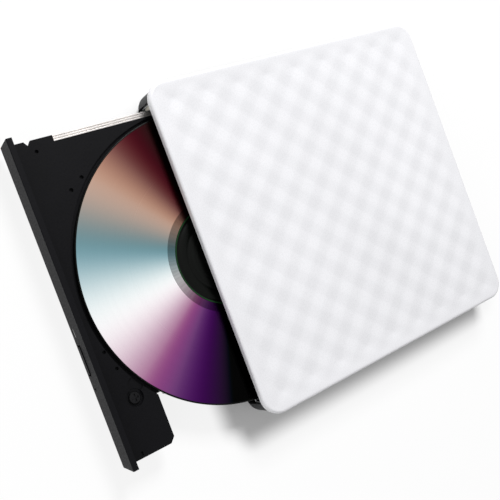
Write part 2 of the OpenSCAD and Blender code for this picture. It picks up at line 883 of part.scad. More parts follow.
module tray() {
    color([0.1, 0.1, 0.11])
        on_tray()
            difference() {
                union() {
                    translate([0, 0, deck_z])
                        linear_extrude(tray_top - deck_z)
                            tray_outline();
                    // walls
                    box([tray_left, tray_front, tray_base], [tray_left + tray_wall, tray_back, deck_z + eps]);
                    box([tray_right - tray_wall, tray_front, tray_base],
                        [tray_right, tray_back, deck_z + eps]);
                    box([tray_left, tray_back - tray_wall, tray_base], [tray_right, tray_back, deck_z + eps]);
                    box([tray_left, tray_front, tray_base],
                        [tray_right, tray_front + front_wall, deck_z + eps]);
                    // tongues that run in the rails
                    box([tongue_tip_left, tray_front + 2.4, left_rail_z - tongue_h / 2],
                        [tray_left + eps, tray_back, left_rail_z + tongue_h / 2]);
                    box([tray_right - eps, tray_front + 2.4, right_rail_z - tongue_h / 2],
                        [tongue_tip_right, tray_back, right_rail_z + tongue_h / 2]);
                    // flange over the front of the left rail
                    box([flange_left, tray_front, tray_top - flange_t],
                        [tray_left + eps, tray_front + flange_l, tray_top]);
                    // wall round the latch under the wing
                    translate([0, 0, wing_under])
                        linear_extrude(deck_z - wing_under + eps)
                            intersection() {
                                tray_outline();
                                translate([wing_x, tray_front])
                                    square([far, far]);
                            }
                    translate([hub_x, hub_y, 0])
                        rotate([0, 0, traverse_turn])
                            for (p = damper_spots)
                                translate([p[0], p[1], damper_post_z])
                                    cylinder(r = damper_post_r, h = deck_z - damper_post_z + eps);
                    for (p = cover_spots)
                        translate([p[0], p[1], tray_base])
                            cylinder(r = cover_boss_r, h = deck_z - tray_base + eps);
                }
                // disc well
                translate([hub_x, hub_y, well_z])
                    cylinder(r = well_r, h = far);
                // openings for the turntable and the pickup
                translate([hub_x, hub_y, deck_z - 1])
                    cylinder(r = turntable_r + turntable_gap, h = far);
                translate([hub_x, hub_y, deck_z - 1])
                    rotate([0, 0, traverse_turn])
                        pickup_slot(far);
                // latch chamber, open below and to the back where the pin comes in
                box([wing_x + wing_wall, tray_front + wing_wall, 0],
                    [wing_right - wing_wall, wing_back - wing_wall, wing_roof]);
                box([pin_x - 2.4, wing_back - 3, 0], [pin_x + 2.4, wing_back + 1, wing_roof]);
                translate([latch_x, bezel_front + latch_back, wing_roof - eps])
                    cylinder(r = cover_screw_r + seat_gap, h = 1);
                // notch in the left edge
                translate([0, 0, tray_top - flange_t - eps])
                    linear_extrude(far)
                        polygon([
                            [flange_left - 1, bezel_front + 5.9], [flange_left + 1.7, bezel_front + 7.7],
                            [flange_left - 1, bezel_front + 9.9]
                        ]);
                // screw holes from below
                for (p = cover_spots)
                    translate([p[0], p[1], tray_base - eps])
                        cylinder(r = cover_screw_r + seat_gap, h = cover_shank + 0.6);
                translate([hub_x, hub_y, 0])
                    rotate([0, 0, traverse_turn])
                        for (p = damper_spots)
                            translate([p[0], p[1], 0])
                                cylinder(r = cover_screw_r + seat_gap, h = deck_z - 0.2);
                // sunk screw, half-round recess and small holes on the upper face
                translate([wing_screw_spot[0], bezel_front + wing_screw_spot[1], tray_top - wing_sink_d])
                    cylinder(r = wing_screw_sink, h = far);
                translate([wing_screw_spot[0], bezel_front + wing_screw_spot[1], tray_top - wing_sink_d - wing_shank - 0.2])
                    cylinder(r = cover_screw_r + seat_gap, h = far);
                translate([35.4, bezel_front + 13.4, tray_top - 0.8])
                    cylinder(r = 3, h = far);
                for (p = [[20, 6.6, 0.7], [27.4, 8.9, 0.7], [-40, 17, 0.8], [-43.5, 22.5, 0.8], [-57, 10, 0.7]])
                    translate([p[0], bezel_front + p[1], tray_top - 1])
                        cylinder(r = p[2], h = far);
                box([wing_right - 2.5, bezel_front + 6, tray_top - 0.6],
                    [wing_right - 0.9, bezel_front + 6.8, far]);
                // groove behind the bezel
                box([tray_left + 1.6, tray_front - 1, tray_top - 0.7],
                    [wing_right - 1.6, tray_front + 0.7, far]);
                // button pocket, stem hole, light and release holes
                box([button_x - button_l / 2 - 2, tray_front - 1, button_z - button_h / 2 - 1.3],
                    [button_x + button_l / 2 + 2, tray_front + flange_pocket, button_z + button_h / 2 + 1.3]);
                box([button_x - stem_w / 2 - 0.4, tray_front - 1, button_z - stem_h / 2 - 0.4],
                    [button_x + stem_w / 2 + 0.4, tray_front + front_wall + 1, button_z + stem_h / 2 + 0.4]);
                box([light_x - light_l / 2 - slide_gap, tray_front - 1, button_z - 0.6 - slide_gap],
                    [light_x + light_l / 2 + slide_gap, tray_front + front_wall + 1, button_z + 0.6 + slide_gap]);
                translate([pinhole_x, tray_front - 1, button_z])
                    rotate([-90, 0, 0])
                        cylinder(r = pinhole_r, h = front_wall + 2);
                // slots for the bezel's clips
                for (x = clip_spots)
                    box([x - clip_w / 2 - slide_gap, tray_front - 1, clip_z - clip_h / 2 - slide_gap],
                        [x + clip_w / 2 + slide_gap, tray_front + clip_d + slide_gap, clip_z + clip_h / 2 + slide_gap]);
            }
}

module bezel() {
    edge = 0.5;
    color([0.2, 0.2, 0.21])
        on_tray()
            difference() {
                union() {
                    intersection() {
                        translate([0, bezel_back, 0])
                            rotate([90, 0, 0])
                                linear_extrude(bezel_t)
                                    polygon([
                                        [-bezel_w / 2 + bezel_taper, bezel_z], [bezel_w / 2 - bezel_taper, bezel_z],
                                        [bezel_w / 2, bezel_z + bezel_h], [-bezel_w / 2, bezel_z + bezel_h]
                                    ]);
                        translate([-far / 2, 0, 0])
                            rotate([90, 0, 90])
                                linear_extrude(far)
                                    polygon([
                                        [bezel_front + edge, bezel_z], [bezel_back, bezel_z],
                                        [bezel_back, bezel_z + bezel_h], [bezel_front + edge / 2, bezel_z + bezel_h],
                                        [bezel_front, bezel_z + bezel_h - edge / 2], [bezel_front, bezel_z + 2 * edge]
                                    ]);
                    }
                    for (x = clip_spots)
                        box([x - clip_w / 2, bezel_back - eps, clip_z - clip_h / 2],
                            [x + clip_w / 2, bezel_back + clip_d, clip_z + clip_h / 2]);
                }
                // button opening, longer than the button
                box([button_x - button_l / 2 - 0.7, bezel_front - 1, button_z - button_h / 2 - 0.25],
                    [button_x + button_l / 2 + 0.7, bezel_back + 1, button_z + button_h / 2 + 0.25]);
                box([light_x - light_l / 2 - seat_gap, bezel_front - 1, button_z - 0.6 - seat_gap],
                    [light_x + light_l / 2 + seat_gap, bezel_back + 1, button_z + 0.6 + seat_gap]);
                translate([pinhole_x, bezel_front - 1, button_z])
                    rotate([-90, 0, 0])
                        cylinder(r = pinhole_r, h = bezel_t + 2);
            }
}

module indicator_lens() {
    color("lightyellow")
        on_tray()
            box([light_x - light_l / 2, bezel_front + 0.1, button_z - 0.6],
                [light_x + light_l / 2, tray_front + front_wall, button_z + 0.6]);
}

button_proud = 0.3;
stem_end = tray_front + front_wall - 0.4;

module eject_button() {
    color([0.15, 0.15, 0.16])
        on_tray()
            union() {
                box([button_x - button_l / 2, bezel_front - button_proud, button_z - button_h / 2],
                    [button_x + button_l / 2, bezel_back + 0.1, button_z + button_h / 2]);
                box([button_x - button_l / 2 - button_flange, bezel_back + 0.05, button_z - button_h / 2 - button_flange],
                    [button_x + button_l / 2 + button_flange, bezel_back + 0.65, button_z + button_h / 2 + button_flange]);
                box([button_x - stem_w / 2, bezel_back, button_z - stem_h / 2],
                    [button_x + stem_w / 2, stem_end, button_z + stem_h / 2]);
            }
}

deck_board_t = 0.8;
// place, width, depth and height of each chip under the deck
chip_sizes = [[26.6, 11, 11, 1], [48.6, 8, 6, 1], [72.6, 4, 3, 1.4]];
deck_board_z = deck_z - deck_board_t;
deck_board_front = tray_front + front_wall + 0.1;
deck_board_left = hub_x + 21.5;
deck_board_right = tray_right - tray_wall - 0.4;

module tray_board() {
    color("green")
        on_tray()
            difference() {
                union() {
                    box([4, deck_board_front, deck_board_z],
                        [deck_board_right, deck_board_front + 8, deck_z]);
                    box([deck_board_left, deck_board_front, deck_board_z],
                        [deck_board_right, tray_back - 2, deck_z]);
                }
                for (p = cover_spots)
                    translate([p[0], p[1], 0])
                        cylinder(r = cover_boss_r + 0.3, h = far);
            }
}

module tray_chips() {
    color("black")
        on_tray() {
            for (c = chip_sizes)
                translate([deck_board_left + 3.5, tray_front + c[0], deck_board_z - c[3]])
                    cube([c[1], c[2], c[3]]);
        }
}

module eject_switch() {
    front = stem_end + button_travel + 0.1;
    color("silver")
        on_tray()
            union() {
                box([button_x - 2.6, front + 0.5, button_z - 1.6],
                    [button_x + 2.6, front + 3.5, deck_board_z]);
                box([button_x - 1, front, button_z - 0.6], [button_x + 1, front + 0.5 + eps, button_z + 0.6]);
            }
}

module tray_socket() {
    color("white")
        on_tray()
            box([ribbon_x - ribbon_w / 2 - 1, tray_socket_y, ribbon_high - 0.6],
                [ribbon_x + ribbon_w / 2 + 1, tray_socket_y + 4, deck_board_z]);
}

cover_slot_start = 44.6;

module tray_cover() {
    color("silver")
        on_tray()
            difference() {
                box([tray_left + 0.2, tray_front + 0.8, tray_under],
                    [tray_right - 0.2, tray_back - 0.2, tray_base]);
                box([ribbon_x - ribbon_w / 2 - 1, tray_front + cover_slot_start, 0],
                    [ribbon_x + ribbon_w / 2 + 1, far, far]);
                for (p = cover_spots)
                    translate([p[0], p[1], 0])
                        cylinder(r = cover_head_r + seat_gap, h = far);
                for (i = [0 : 4])
                    box([tray_left + 9.1 + i * 6, tray_front + 18.6, 0],
                        [tray_left + 12.1 + i * 6, tray_front + 34.6, far]);
            }
}

module cover_screws() {
    color("silver")
        on_tray()
            for (p = cover_spots)
                translate([p[0], p[1], tray_under + cover_head_lift])
                    screw(cover_head_r, cover_t - cover_head_lift, cover_screw_r, cover_shank);
}

module wing_screw() {
    color([0.25, 0.25, 0.26])
        on_tray()
            translate([wing_screw_spot[0], bezel_front + wing_screw_spot[1], tray_top - wing_sink_d + wing_head_h])
                mirror([0, 0, 1])
                    screw(wing_screw_sink - 1.1, wing_head_h, cover_screw_r, wing_shank);
}

// Traverse with the spindle and the pickup, laid out along the pickup's travel

bracket_z = 4.9;
traverse_z = 8;
traverse_t = 0.8;
block_in = 12;
block_l = 2.3;
plate_end = block_out + block_l + 0.5;
block_w = 3.6;
rod_inset = 0.6;
rod_l = block_out - block_in + block_l - 2 * rod_inset;
journal_r = lead_r * 0.7;
motor_front = 0.5;
motor_h = 3.3;
motor_r = 4;

module traverse_plate() {
    color("gainsboro")
        on_traverse()
            difference() {
                union() {
                    translate([0, 0, traverse_z])
                        linear_extrude(traverse_t)
                            polygon([
                                [-17, -7], [-11, -13], [14, -13], [14, -20], [26, -20], [26, -13], [plate_end, -13],
                                [plate_end, 19.2], [plate_end - 7, 26.8], [plate_end - 13, 27], [plate_end - 18, 22.5],
                                [-5, 22.5], [-11, 21], [-17, 15]
                            ]);
                    for (x = [block_in, block_out], y = [rod_main, rod_second])
                        box([x, y - block_w / 2, bracket_z],
                            [x + block_l, y + block_w / 2, traverse_z + eps]);
                    box([block_out, screw_line - block_w / 2, bracket_z],
                        [block_out + block_l, screw_line + block_w / 2, traverse_z + eps]);
                }
                translate([0, 0, traverse_z - 1])
                    cylinder(r = bell_r + bell_gap, h = 3);
                box([4, -frame_half - 0.6, traverse_z - eps],
                    [block_out - holder_gap, frame_half + 0.6, far]);
                for (y = [rod_main, rod_second])
                    translate([block_in + rod_inset, y, rod_z])
                        rotate([0, 90, 0])
                            cylinder(r = rod_r + press_gap, h = rod_l);
                translate([block_in, screw_line, rod_z])
                    rotate([0, 90, 0])
                        cylinder(r = journal_r + run_gap, h = far);
                for (p = damper_spots)
                    translate([p[0], p[1], 0])
                        cylinder(r = damper_neck_r + seat_gap, h = far);
            }
}

module dampers() {
    damper_h = deck_z - traverse_z - press_gap;
    color("black")
        on_traverse()
            for (p = damper_spots)
                translate([p[0], p[1], traverse_z])
                    rotate_extrude()
                        polygon([
                            [damper_post_r + seat_gap, -damper_lip], [damper_r, -damper_lip], [damper_r, 0],
                            [damper_neck_r, 0], [damper_neck_r, traverse_t], [damper_r, traverse_t],
                            [damper_r, damper_h], [damper_post_r + seat_gap, damper_h]
                        ]);
}

module damper_screws() {
    color("silver")
        on_traverse()
            for (p = damper_spots)
                translate([p[0], p[1], damper_post_z - screw_head_h])
                    screw(damper_neck_r, screw_head_h, cover_screw_r, deck_z - damper_post_z - 0.4);
}

module guide_rods() {
    color("silver")
        on_traverse()
            for (y = [rod_main, rod_second])
                translate([block_in + rod_inset, y, rod_z])
                    rotate([0, 90, 0])
                        cylinder(r = rod_r, h = rod_l);
}

module sled_motor() {
    color("silver")
        on_traverse()
            difference() {
                intersection() {
                    translate([motor_front, screw_line, rod_z])
                        rotate([0, 90, 0])
                            cylinder(r = motor_r, h = block_in - motor_front);
                    box([0, screw_line - 10, traverse_z - motor_h], [block_in, screw_line + 10, traverse_z]);
                }
                translate([motor_front + 2, screw_line, rod_z])
                    rotate([0, 90, 0])
                        cylinder(r = journal_r + run_gap, h = far);
            }
}

module lead_screw() {
    thread_start = block_in + 0.6;
    thread_end = block_out - 0.4;
    turns = floor((thread_end - thread_start) / lead_pitch);
    color("goldenrod")
        on_traverse()
            translate([0, screw_line, rod_z])
                rotate([0, 90, 0])
                    union() {
                        translate([0, 0, motor_front + 3])
                            cylinder(r = journal_r, h = block_out + block_l - 0.4 - motor_front - 3);
                        for (i = [0 : turns - 1])
                            translate([0, 0, thread_start + i * lead_pitch])
                                cylinder(r = lead_r, h = lead_pitch * 0.7);
                    }
}

sled_in = -9.5;
sled_out = 4;
sled_z = 4.6;
sled_top = 7.7;
frame_top = 9.4;
frame_half = 8;
holder_gap = 0.4;

module pickup_sled() {
    color([0.3, 0.3, 0.32])
        on_traverse()
            translate([lens_r, 0, 0])
                difference() {
                    union() {
                        box([sled_in, rod_second - 2, sled_z], [sled_out, rod_main + 2, sled_top]);
                        box([sled_in + 1, -frame_half, sled_top - eps],
                            [sled_out - 0.4, frame_half, frame_top]);
                        // arm to the lead screw
                        box([sled_in + 3, rod_main + 2 - eps, rod_z - 0.7],
                            [sled_out - 3, screw_line - lead_r - 0.3, rod_z + 0.7]);
                    }
                    translate([sled_in - 1, rod_main, rod_z])
                        rotate([0, 90, 0])
                            cylinder(r = rod_r + run_gap, h = far);
                    translate([sled_in - 1, rod_second, rod_z])
                        rotate([0, 90, 0])
                            cylinder(r = rod_r + run_gap, h = far);
                    box([sled_in - 1, rod_second - 5, rod_z - rod_r - run_gap],
                        [sled_out + 1, rod_second, rod_z + rod_r + run_gap]);
                    // well for the lens holder
                    box([holder_in - holder_gap, -holder_half - holder_gap, holder_z - holder_gap],
                        [holder_out + holder_gap, holder_half + holder_gap, far]);
                }
}

holder_z = 7.6;
holder_top = 9.9;
holder_in = -4;
holder_out = 3;
holder_half = 5;
lens_rad = 2;
lens_rim = 0.6;
lens_seat = 0.5;

module lens_holder() {
    color([0.12, 0.12, 0.13])
        on_traverse()
            translate([lens_r, 0, 0])
                difference() {
                    box([holder_in, -holder_half, holder_z], [holder_out, holder_half, holder_top]);
                    translate([0, 0, holder_top - lens_seat])
                        cylinder(r = lens_rad + seat_gap, h = 1);
                    translate([0, 0, holder_z - 1])
                        cylinder(r = lens_rad - lens_rim, h = far);
                }
}

module objective_lens() {
    dome = 4;
    color("lightblue")
        on_traverse()
            translate([lens_r, 0, holder_top - lens_seat])
                intersection() {
                    cylinder(r = lens_rad, h = 1);
                    translate([0, 0, 0.9 - dome])
                        sphere(dome);
                }
}

base_r = 13.2;
base_z = 4.7;
base_t = 0.8;
stud_at = 12;
sleeve_r = 3;
sleeve_top = 8.9;
coil_r = 9.3;
bell_top = 9.6;
bell_wall = 0.6;
bell_gap = 0.7;
bell_lift = 0.4;
coil_top = 8.6;
shaft_end = base_z + 0.5;
shaft_top = disc_z + 0.5;

module spindle_base() {
    color("gainsboro")
        on_traverse()
            difference() {
                union() {
                    translate([0, 0, base_z])
                        cylinder(r = base_r, h = base_t);
                    translate([0, 0, base_z])
                        cylinder(r = sleeve_r, h = sleeve_top - base_z);
                    for (a = [90, 180, 270])
                        rotate([0, 0, a])
                            translate([stud_at, 0, base_z])
                                cylinder(r = 1, h = traverse_z - base_z);
                }
                translate([0, 0, base_z + 0.3])
                    cylinder(r = shaft_r + run_gap, h = far);
            }
}

module spindle_coils() {
    poles = 9;
    color("chocolate")
        on_traverse()
            translate([0, 0, base_z + base_t])
                linear_extrude(coil_top - base_z - base_t)
                    difference() {
                        union() {
                            circle(sleeve_r + 2.2);
                            for (i = [0 : poles - 1])
                                rotate([0, 0, i * 360 / poles])
                                    translate([0, -1])
                                        square([coil_r, 2]);
                        }
                        circle(sleeve_r + seat_gap);
                    }
}

module spindle_rotor() {
    color("silver")
        on_hub()
            union() {
                translate([0, 0, shaft_end])
                    cylinder(r = shaft_r, h = shaft_top - shaft_end);
                difference() {
                    translate([0, 0, base_z + base_t + bell_lift])
                        cylinder(r = bell_r, h = bell_top - base_z - base_t - bell_lift);
                    translate([0, 0, base_z])
                        cylinder(r = bell_r - bell_wall, h = bell_top - bell_wall - base_z);
                }
            }
}

ring_t = 0.4;
table_top = disc_z - ring_t;
hub_r = disc_hole_r - 0.15;
claw_z = disc_z + disc_t + 0.1;
claw_h = 0.6;
hub_top = claw_z + claw_h;
claw_w = 3;
claw_in = 4.6;
claw_out = 8;
cap_h = 0.9;

module turntable() {
    color([0.12, 0.12, 0.13])
        on_hub()
            difference() {
                union() {
                    translate([0, 0, bell_top])
                        cylinder(r = turntable_r, h = table_top - bell_top);
                    translate([0, 0, table_top - eps])
                        cylinder(r = hub_r, h = hub_top - table_top + eps);
                }
                translate([0, 0, bell_top - 1])
                    cylinder(r = shaft_r + seat_gap, h = shaft_top - bell_top + 1.1);
                for (a = [90, 210, 330])
                    rotate([0, 0, a])
                        box([claw_in - claw_travel - slide_gap, -claw_w / 2 - slide_gap, claw_z - slide_gap],
                            [far, claw_w / 2 + slide_gap, far]);
            }
}

module grip_ring() {
    color("dimgray")
        on_hub()
            translate([0, 0, table_top])
                ring(turntable_r - 0.4, turntable_r - 3.6, ring_t);
}

module hub_cap() {
    color("gray")
        on_hub()
            translate([0, 0, hub_top])
                difference() {
                    rotate_extrude()
                        polygon([[0, 0], [hub_r, 0], [hub_r, 0.25], [hub_r - 1.2, cap_h], [0, cap_h]]);
                    translate([0, 0, 0.4])
                        cylinder(r = 1.8, h = 1);
                }
}

module claw(turn) {
    color("darkgray")
        on_hub()
            rotate([0, 0, turn])
                intersection() {
                    box([claw_in, -claw_w / 2, claw_z], [claw_out, claw_w / 2, hub_top - seat_gap]);
                    translate([0, 0, claw_z])
                        cylinder(r = claw_out - 0.1, h = 2);
                }
}

module claw_a() {
    claw(90);
}

module claw_b() {
    claw(210);
}

module claw_c() {
    claw(330);
}

module disc() {
    color("lightsteelblue")
        on_hub()
            translate([0, 0, disc_z])
                rotate_extrude()
                    polygon([
                        [disc_hole_r, 0], [disc_r - 0.15, 0], [disc_r, 0.15], [disc_r, disc_t - 0.15],
                        [disc_r - 0.15, disc_t], [18, disc_t], [17.8, disc_t - 0.15], [17.2, disc_t - 0.15],
                        [17, disc_t], [disc_hole_r, disc_t]
                    ]);
}

// Latch in the front wing

lever_z = 8.6;
lever_t = 1.2;
lever_ring = 2.4;

module latch_lever() {
    tooth = pin_back + pin_r + 0.3 - latch_back;
    reach = pin_x + pin_r - latch_x;
    color("ivory")
        on_tray()
            translate([latch_x, bezel_front + latch_back, lever_z])
                rotate([0, 0, latch_swing])
                    difference() {
                        linear_extrude(lever_t)
                            union() {
                                circle(lever_ring);
                                polygon([
                                    [-0.4, 0], [2.2, 0], [3.3, 5], [3.3, tooth], [reach, tooth], [reach - 0.8, tooth + 1.1],
                                    [1.2, tooth + 1.1]
                                ]);
                            }
                        translate([0, 0, -1])
                            cylinder(r = latch_pivot_r + run_gap, h = lever_t + 2);
                    }
}

module latch_screw() {
    color("silver")
        on_tray()
            translate([latch_x, bezel_front + latch_back, wing_under - 0.1])
                union() {
                    cylinder(r = 2.1, h = 0.6);
                    cylinder(r = latch_pivot_r, h = wing_roof - wing_under + 0.1);
                    cylinder(r = cover_screw_r, h = wing_roof - wing_under + 1);
                }
}

module latch_magnet() {
    color("chocolate")
        on_tray()
            box([wing_x + 7.5, tray_front + wing_wall, wing_under + 0.3],
                [wing_right - 1.7, tray_front + wing_wall + 5, wing_roof]);
}

top_cover();
bottom_case();
rubber_feet();
case_screws();
bridge_board();
bridge_chips();
data_plug();
usb_socket();
usb_tongue();
drive_chassis();
drive_top_plate();
plate_screws();
left_guide();
right_guide();
drive_board();
data_socket();
ribbon();
ribbon_socket();
latch_pin();
left_rail();
right_rail();
tray();
bezel();
indicator_lens();
eject_button();
tray_board();
tray_chips();
eject_switch();
tray_socket();
tray_cover();
cover_screws();
wing_screw();
traverse_plate();
dampers();
damper_screws();
guide_rods();
sled_motor();
lead_screw();
pickup_sled();
lens_holder();
objective_lens();
spindle_base();
spindle_coils();
spindle_rotor();
turntable();
grip_ring();
hub_cap();
claw_a();
claw_b();
claw_c();
disc();
latch_lever();
latch_screw();
latch_magnet();
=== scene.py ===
"""Slim external disc drive with an embossed white lid, its tray part way out and a disc on the hub."""

import json
import math

import bmesh
import bpy
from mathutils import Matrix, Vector


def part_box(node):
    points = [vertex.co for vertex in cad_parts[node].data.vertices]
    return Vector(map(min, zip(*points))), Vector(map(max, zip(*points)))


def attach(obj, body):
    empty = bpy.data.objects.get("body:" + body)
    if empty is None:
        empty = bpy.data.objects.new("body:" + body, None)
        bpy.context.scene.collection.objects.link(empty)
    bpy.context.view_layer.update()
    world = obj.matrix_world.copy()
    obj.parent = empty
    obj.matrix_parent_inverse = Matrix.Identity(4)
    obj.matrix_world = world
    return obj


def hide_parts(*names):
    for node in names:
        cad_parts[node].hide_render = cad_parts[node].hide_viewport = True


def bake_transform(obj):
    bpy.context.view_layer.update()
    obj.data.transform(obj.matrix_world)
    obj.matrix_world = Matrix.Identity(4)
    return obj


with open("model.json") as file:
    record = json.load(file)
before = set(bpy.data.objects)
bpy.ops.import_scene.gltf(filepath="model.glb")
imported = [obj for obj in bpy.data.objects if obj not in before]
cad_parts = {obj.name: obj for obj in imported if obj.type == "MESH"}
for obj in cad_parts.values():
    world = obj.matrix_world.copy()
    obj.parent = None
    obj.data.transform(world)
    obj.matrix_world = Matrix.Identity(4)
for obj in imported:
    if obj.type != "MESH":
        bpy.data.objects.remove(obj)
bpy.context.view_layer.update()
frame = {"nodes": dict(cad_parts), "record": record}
NODES = frame["nodes"]
SLOT_OF = {part["node"]: part["material_slot"] for part in frame["record"]["subparts"]}
BODY_OF = {node: body for body, members in frame["record"]["behaviour"]["bodies"].items() for node in members}
MM = 0.001
QUARTER = math.radians(90)

bl_info = {
    "name": "Slim disc drive",
    "version": (1, 0, 0),
    "blender": (4, 5, 0),
    "location": "View3D > Sidebar > Disc drive",
    "description": "Dresses a slim external disc drive",
    "category": "Object",
}


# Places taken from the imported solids

def span(node):
    """Lowest and highest corner of a solid."""
    low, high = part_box(node)
    return Vector(low), Vector(high)


LID_LOW, LID_HIGH = span("top_cover")
LID_MIDDLE = (LID_LOW + LID_HIGH) / 2
LID_HALF = (LID_HIGH - LID_LOW) / 2
DISC_LOW, DISC_HIGH = span("disc")
HUB = (DISC_LOW + DISC_HIGH) / 2


# Properties

def colour(name, text, default):
    return bpy.props.FloatVectorProperty(
        name=name, description=text, subtype="COLOR", size=3, min=0, max=1, default=default
    )


def length(name, text, default):
    return bpy.props.FloatProperty(name=name, description=text, unit="LENGTH", precision=5, default=default)


def number(name, text, default):
    return bpy.props.FloatProperty(name=name, description=text, default=default)


class DriveSizes(bpy.types.PropertyGroup):
    """Sizes of what is added to the solids."""

    lid_corner: length("Lid corner", "Plan radius of the lid's corners", 8 * MM)
    lid_edge: length("Lid edge", "Radius of the lid's top edge", 1.2 * MM)
    lid_wall: length("Lid wall", "Wall of the lid", 1.6 * MM)
    lid_skirt: length("Lid skirt", "Height of the lid's skirt", 2.8 * MM)
    lid_border: length("Lid border", "Plain border round the embossed panel", 1.8 * MM)
    emboss_pitch: length("Emboss pitch", "Diagonal repeat of the diamonds", 11 * MM)
    emboss_depth: length("Emboss depth", "Depth of the diamonds", 0.7 * MM)
    emboss_soften: number("Emboss softness", "Share of a soft wave in the diamonds", 0.08)
    emboss_fade: length("Emboss fade", "Width over which the diamonds fade at the panel's edge", 6 * MM)
    panel_step: length("Panel step", "Mesh step of the embossed panel", 0.75 * MM)
    moulded_edge: length("Moulded edge", "Edge radius of moulded pieces", 0.22 * MM)
    sheet_edge: length("Sheet edge", "Edge radius of sheet metal", 0.08 * MM)
    ribbon_film: length("Ribbon film", "Thickness of the flat ribbon", 0.15 * MM)
    screw_recess: number("Screw recess", "Width of a screw's cross recess, as a share of its head", 0.34)


class DriveFinish(bpy.types.PropertyGroup):
    """Colours of the finishes."""

    lid: colour("Lid", "White moulded lid", (0.80, 0.80, 0.825))
    case: colour("Case", "Black moulded case", (0.016, 0.0165, 0.018))
    tray: colour("Tray", "Black moulded tray", (0.0038, 0.0038, 0.0046))
    bezel: colour("Bezel", "Dark moulded bezel", (0.005, 0.005, 0.006))
    rail: colour("Rail", "Pale rail metal", (0.44, 0.42, 0.405))
    steel: colour("Steel", "Zinc-coated sheet steel", (0.60, 0.61, 0.62))
    screw: colour("Screw", "Bright screws", (0.62, 0.62, 0.63))
    dark_screw: colour("Dark screw", "Blackened screw in the wing", (0.014, 0.014, 0.015))
    traverse: colour("Traverse", "Frame of the pickup", (0.52, 0.52, 0.54))
    rubber: colour("Rubber", "Feet and dampers", (0.018, 0.018, 0.019))
    board: colour("Board", "Circuit board", (0.012, 0.09, 0.035))
    chip: colour("Chip", "Chips on the boards", (0.014, 0.014, 0.015))
    sled: colour("Sled", "Plastic of the pickup", (0.05, 0.05, 0.054))
    ivory: colour("Ivory", "Sockets and the latch lever", (0.72, 0.69, 0.60))
    copper: colour("Copper", "Windings", (0.72, 0.30, 0.12))
    brass: colour("Brass", "Lead screw", (0.72, 0.52, 0.22))
    hub: colour("Hub", "Hub cap and claws", (0.30, 0.30, 0.31))


class DriveStage(bpy.types.PropertyGroup):
    """Camera, lights and floor."""

    eye: bpy.props.FloatVectorProperty(
        name="Camera place", description="Where the camera stands", subtype="TRANSLATION", unit="LENGTH",
        default=(-0.0058, -0.20274, 0.27684)
    )
    turn: bpy.props.FloatVectorProperty(
        name="Camera turn", description="How the camera is turned", subtype="EULER",
        default=(math.radians(9.6308), math.radians(-28.5946), math.radians(66.4303))
    )
    focal: number("Focal length", "Focal length in millimetres on a 36 mm sensor", 53.28)
    key: number("Key light", "Power of the side light from the left", 11.4)
    fill: number("Fill light", "Power of the light from the front", 2.5)
    sky: number("Sky", "Strength of the even light from all sides", 0.23)


def sizes():
    return bpy.context.scene.drive_sizes


def finish():
    return bpy.context.scene.drive_finish


def stage():
    return bpy.context.scene.drive_stage


# Node helpers

SOCKETS = {
    float: "NodeSocketFloat", int: "NodeSocketInt", tuple: "NodeSocketVector", Vector: "NodeSocketVector",
    bpy.types.Material: "NodeSocketMaterial",
}


def feed(tree, node, inputs):
    """Fills or links a node's inputs."""
    for key, value in inputs.items():
        socket = node.inputs[key]
        if isinstance(value, bpy.types.NodeSocket):
            tree.links.new(value, socket)
        else:
            socket.default_value = value


def place(tree, kind, inputs=None, **settings):
    """Adds a node with its settings and inputs."""
    made = tree.nodes.new(kind)
    for key, value in settings.items():
        setattr(made, key, value)
    feed(tree, made, inputs or {})
    return made


def maths(tree, operation, a, b=0.0, c=0.0):
    return place(tree, "ShaderNodeMath", {0: a, 1: b, 2: c}, operation=operation).outputs[0]


def blend(tree, factor, a, b):
    """A colour between two others."""
    return place(tree, "ShaderNodeMix", {0: factor, 6: a, 7: b}, data_type="RGBA").outputs[2]


def spread(tree, value, low, high, from_low=0.0, from_high=1.0, curve="LINEAR"):
    """A value moved from one range to another."""
    inputs = {"Value": value, "From Min": from_low, "From Max": from_high, "To Min": low, "To Max": high}
    return place(tree, "ShaderNodeMapRange", inputs, interpolation_type=curve).outputs["Result"]


def split(tree, vector):
    return place(tree, "ShaderNodeSeparateXYZ", {"Vector": vector}).outputs


def joined(tree, **axes):
    return place(tree, "ShaderNodeCombineXYZ", axes).outputs[0]


def root_of_squares(tree, a, b):
    """Length of a vector with two sides."""
    return maths(tree, "SQRT", maths(tree, "MULTIPLY_ADD", a, a, maths(tree, "MULTIPLY", b, b)))


def object_place(tree):
    return place(tree, "ShaderNodeTexCoord").outputs["Object"]


def noise(tree, where, scale, detail=2.0, rough=0.5):
    inputs = {"Vector": where, "Scale": scale, "Detail": detail, "Roughness": rough}
    return place(tree, "ShaderNodeTexNoise", inputs).outputs["Fac"]


def cells(tree, where, scale, output, **settings):
    return place(tree, "ShaderNodeTexVoronoi", {"Vector": where, "Scale": scale}, **settings).outputs[output]


def rgba(values, gain=1.0):
    return tuple(min(1.0, v * gain) for v in values) + (1.0,)


def bump(tree, height, strength, depth):
    """Fine relief, its depth in millimetres."""
    inputs = {"Height": height, "Strength": strength, "Distance": depth * MM}
    return place(tree, "ShaderNodeBump", inputs).outputs["Normal"]


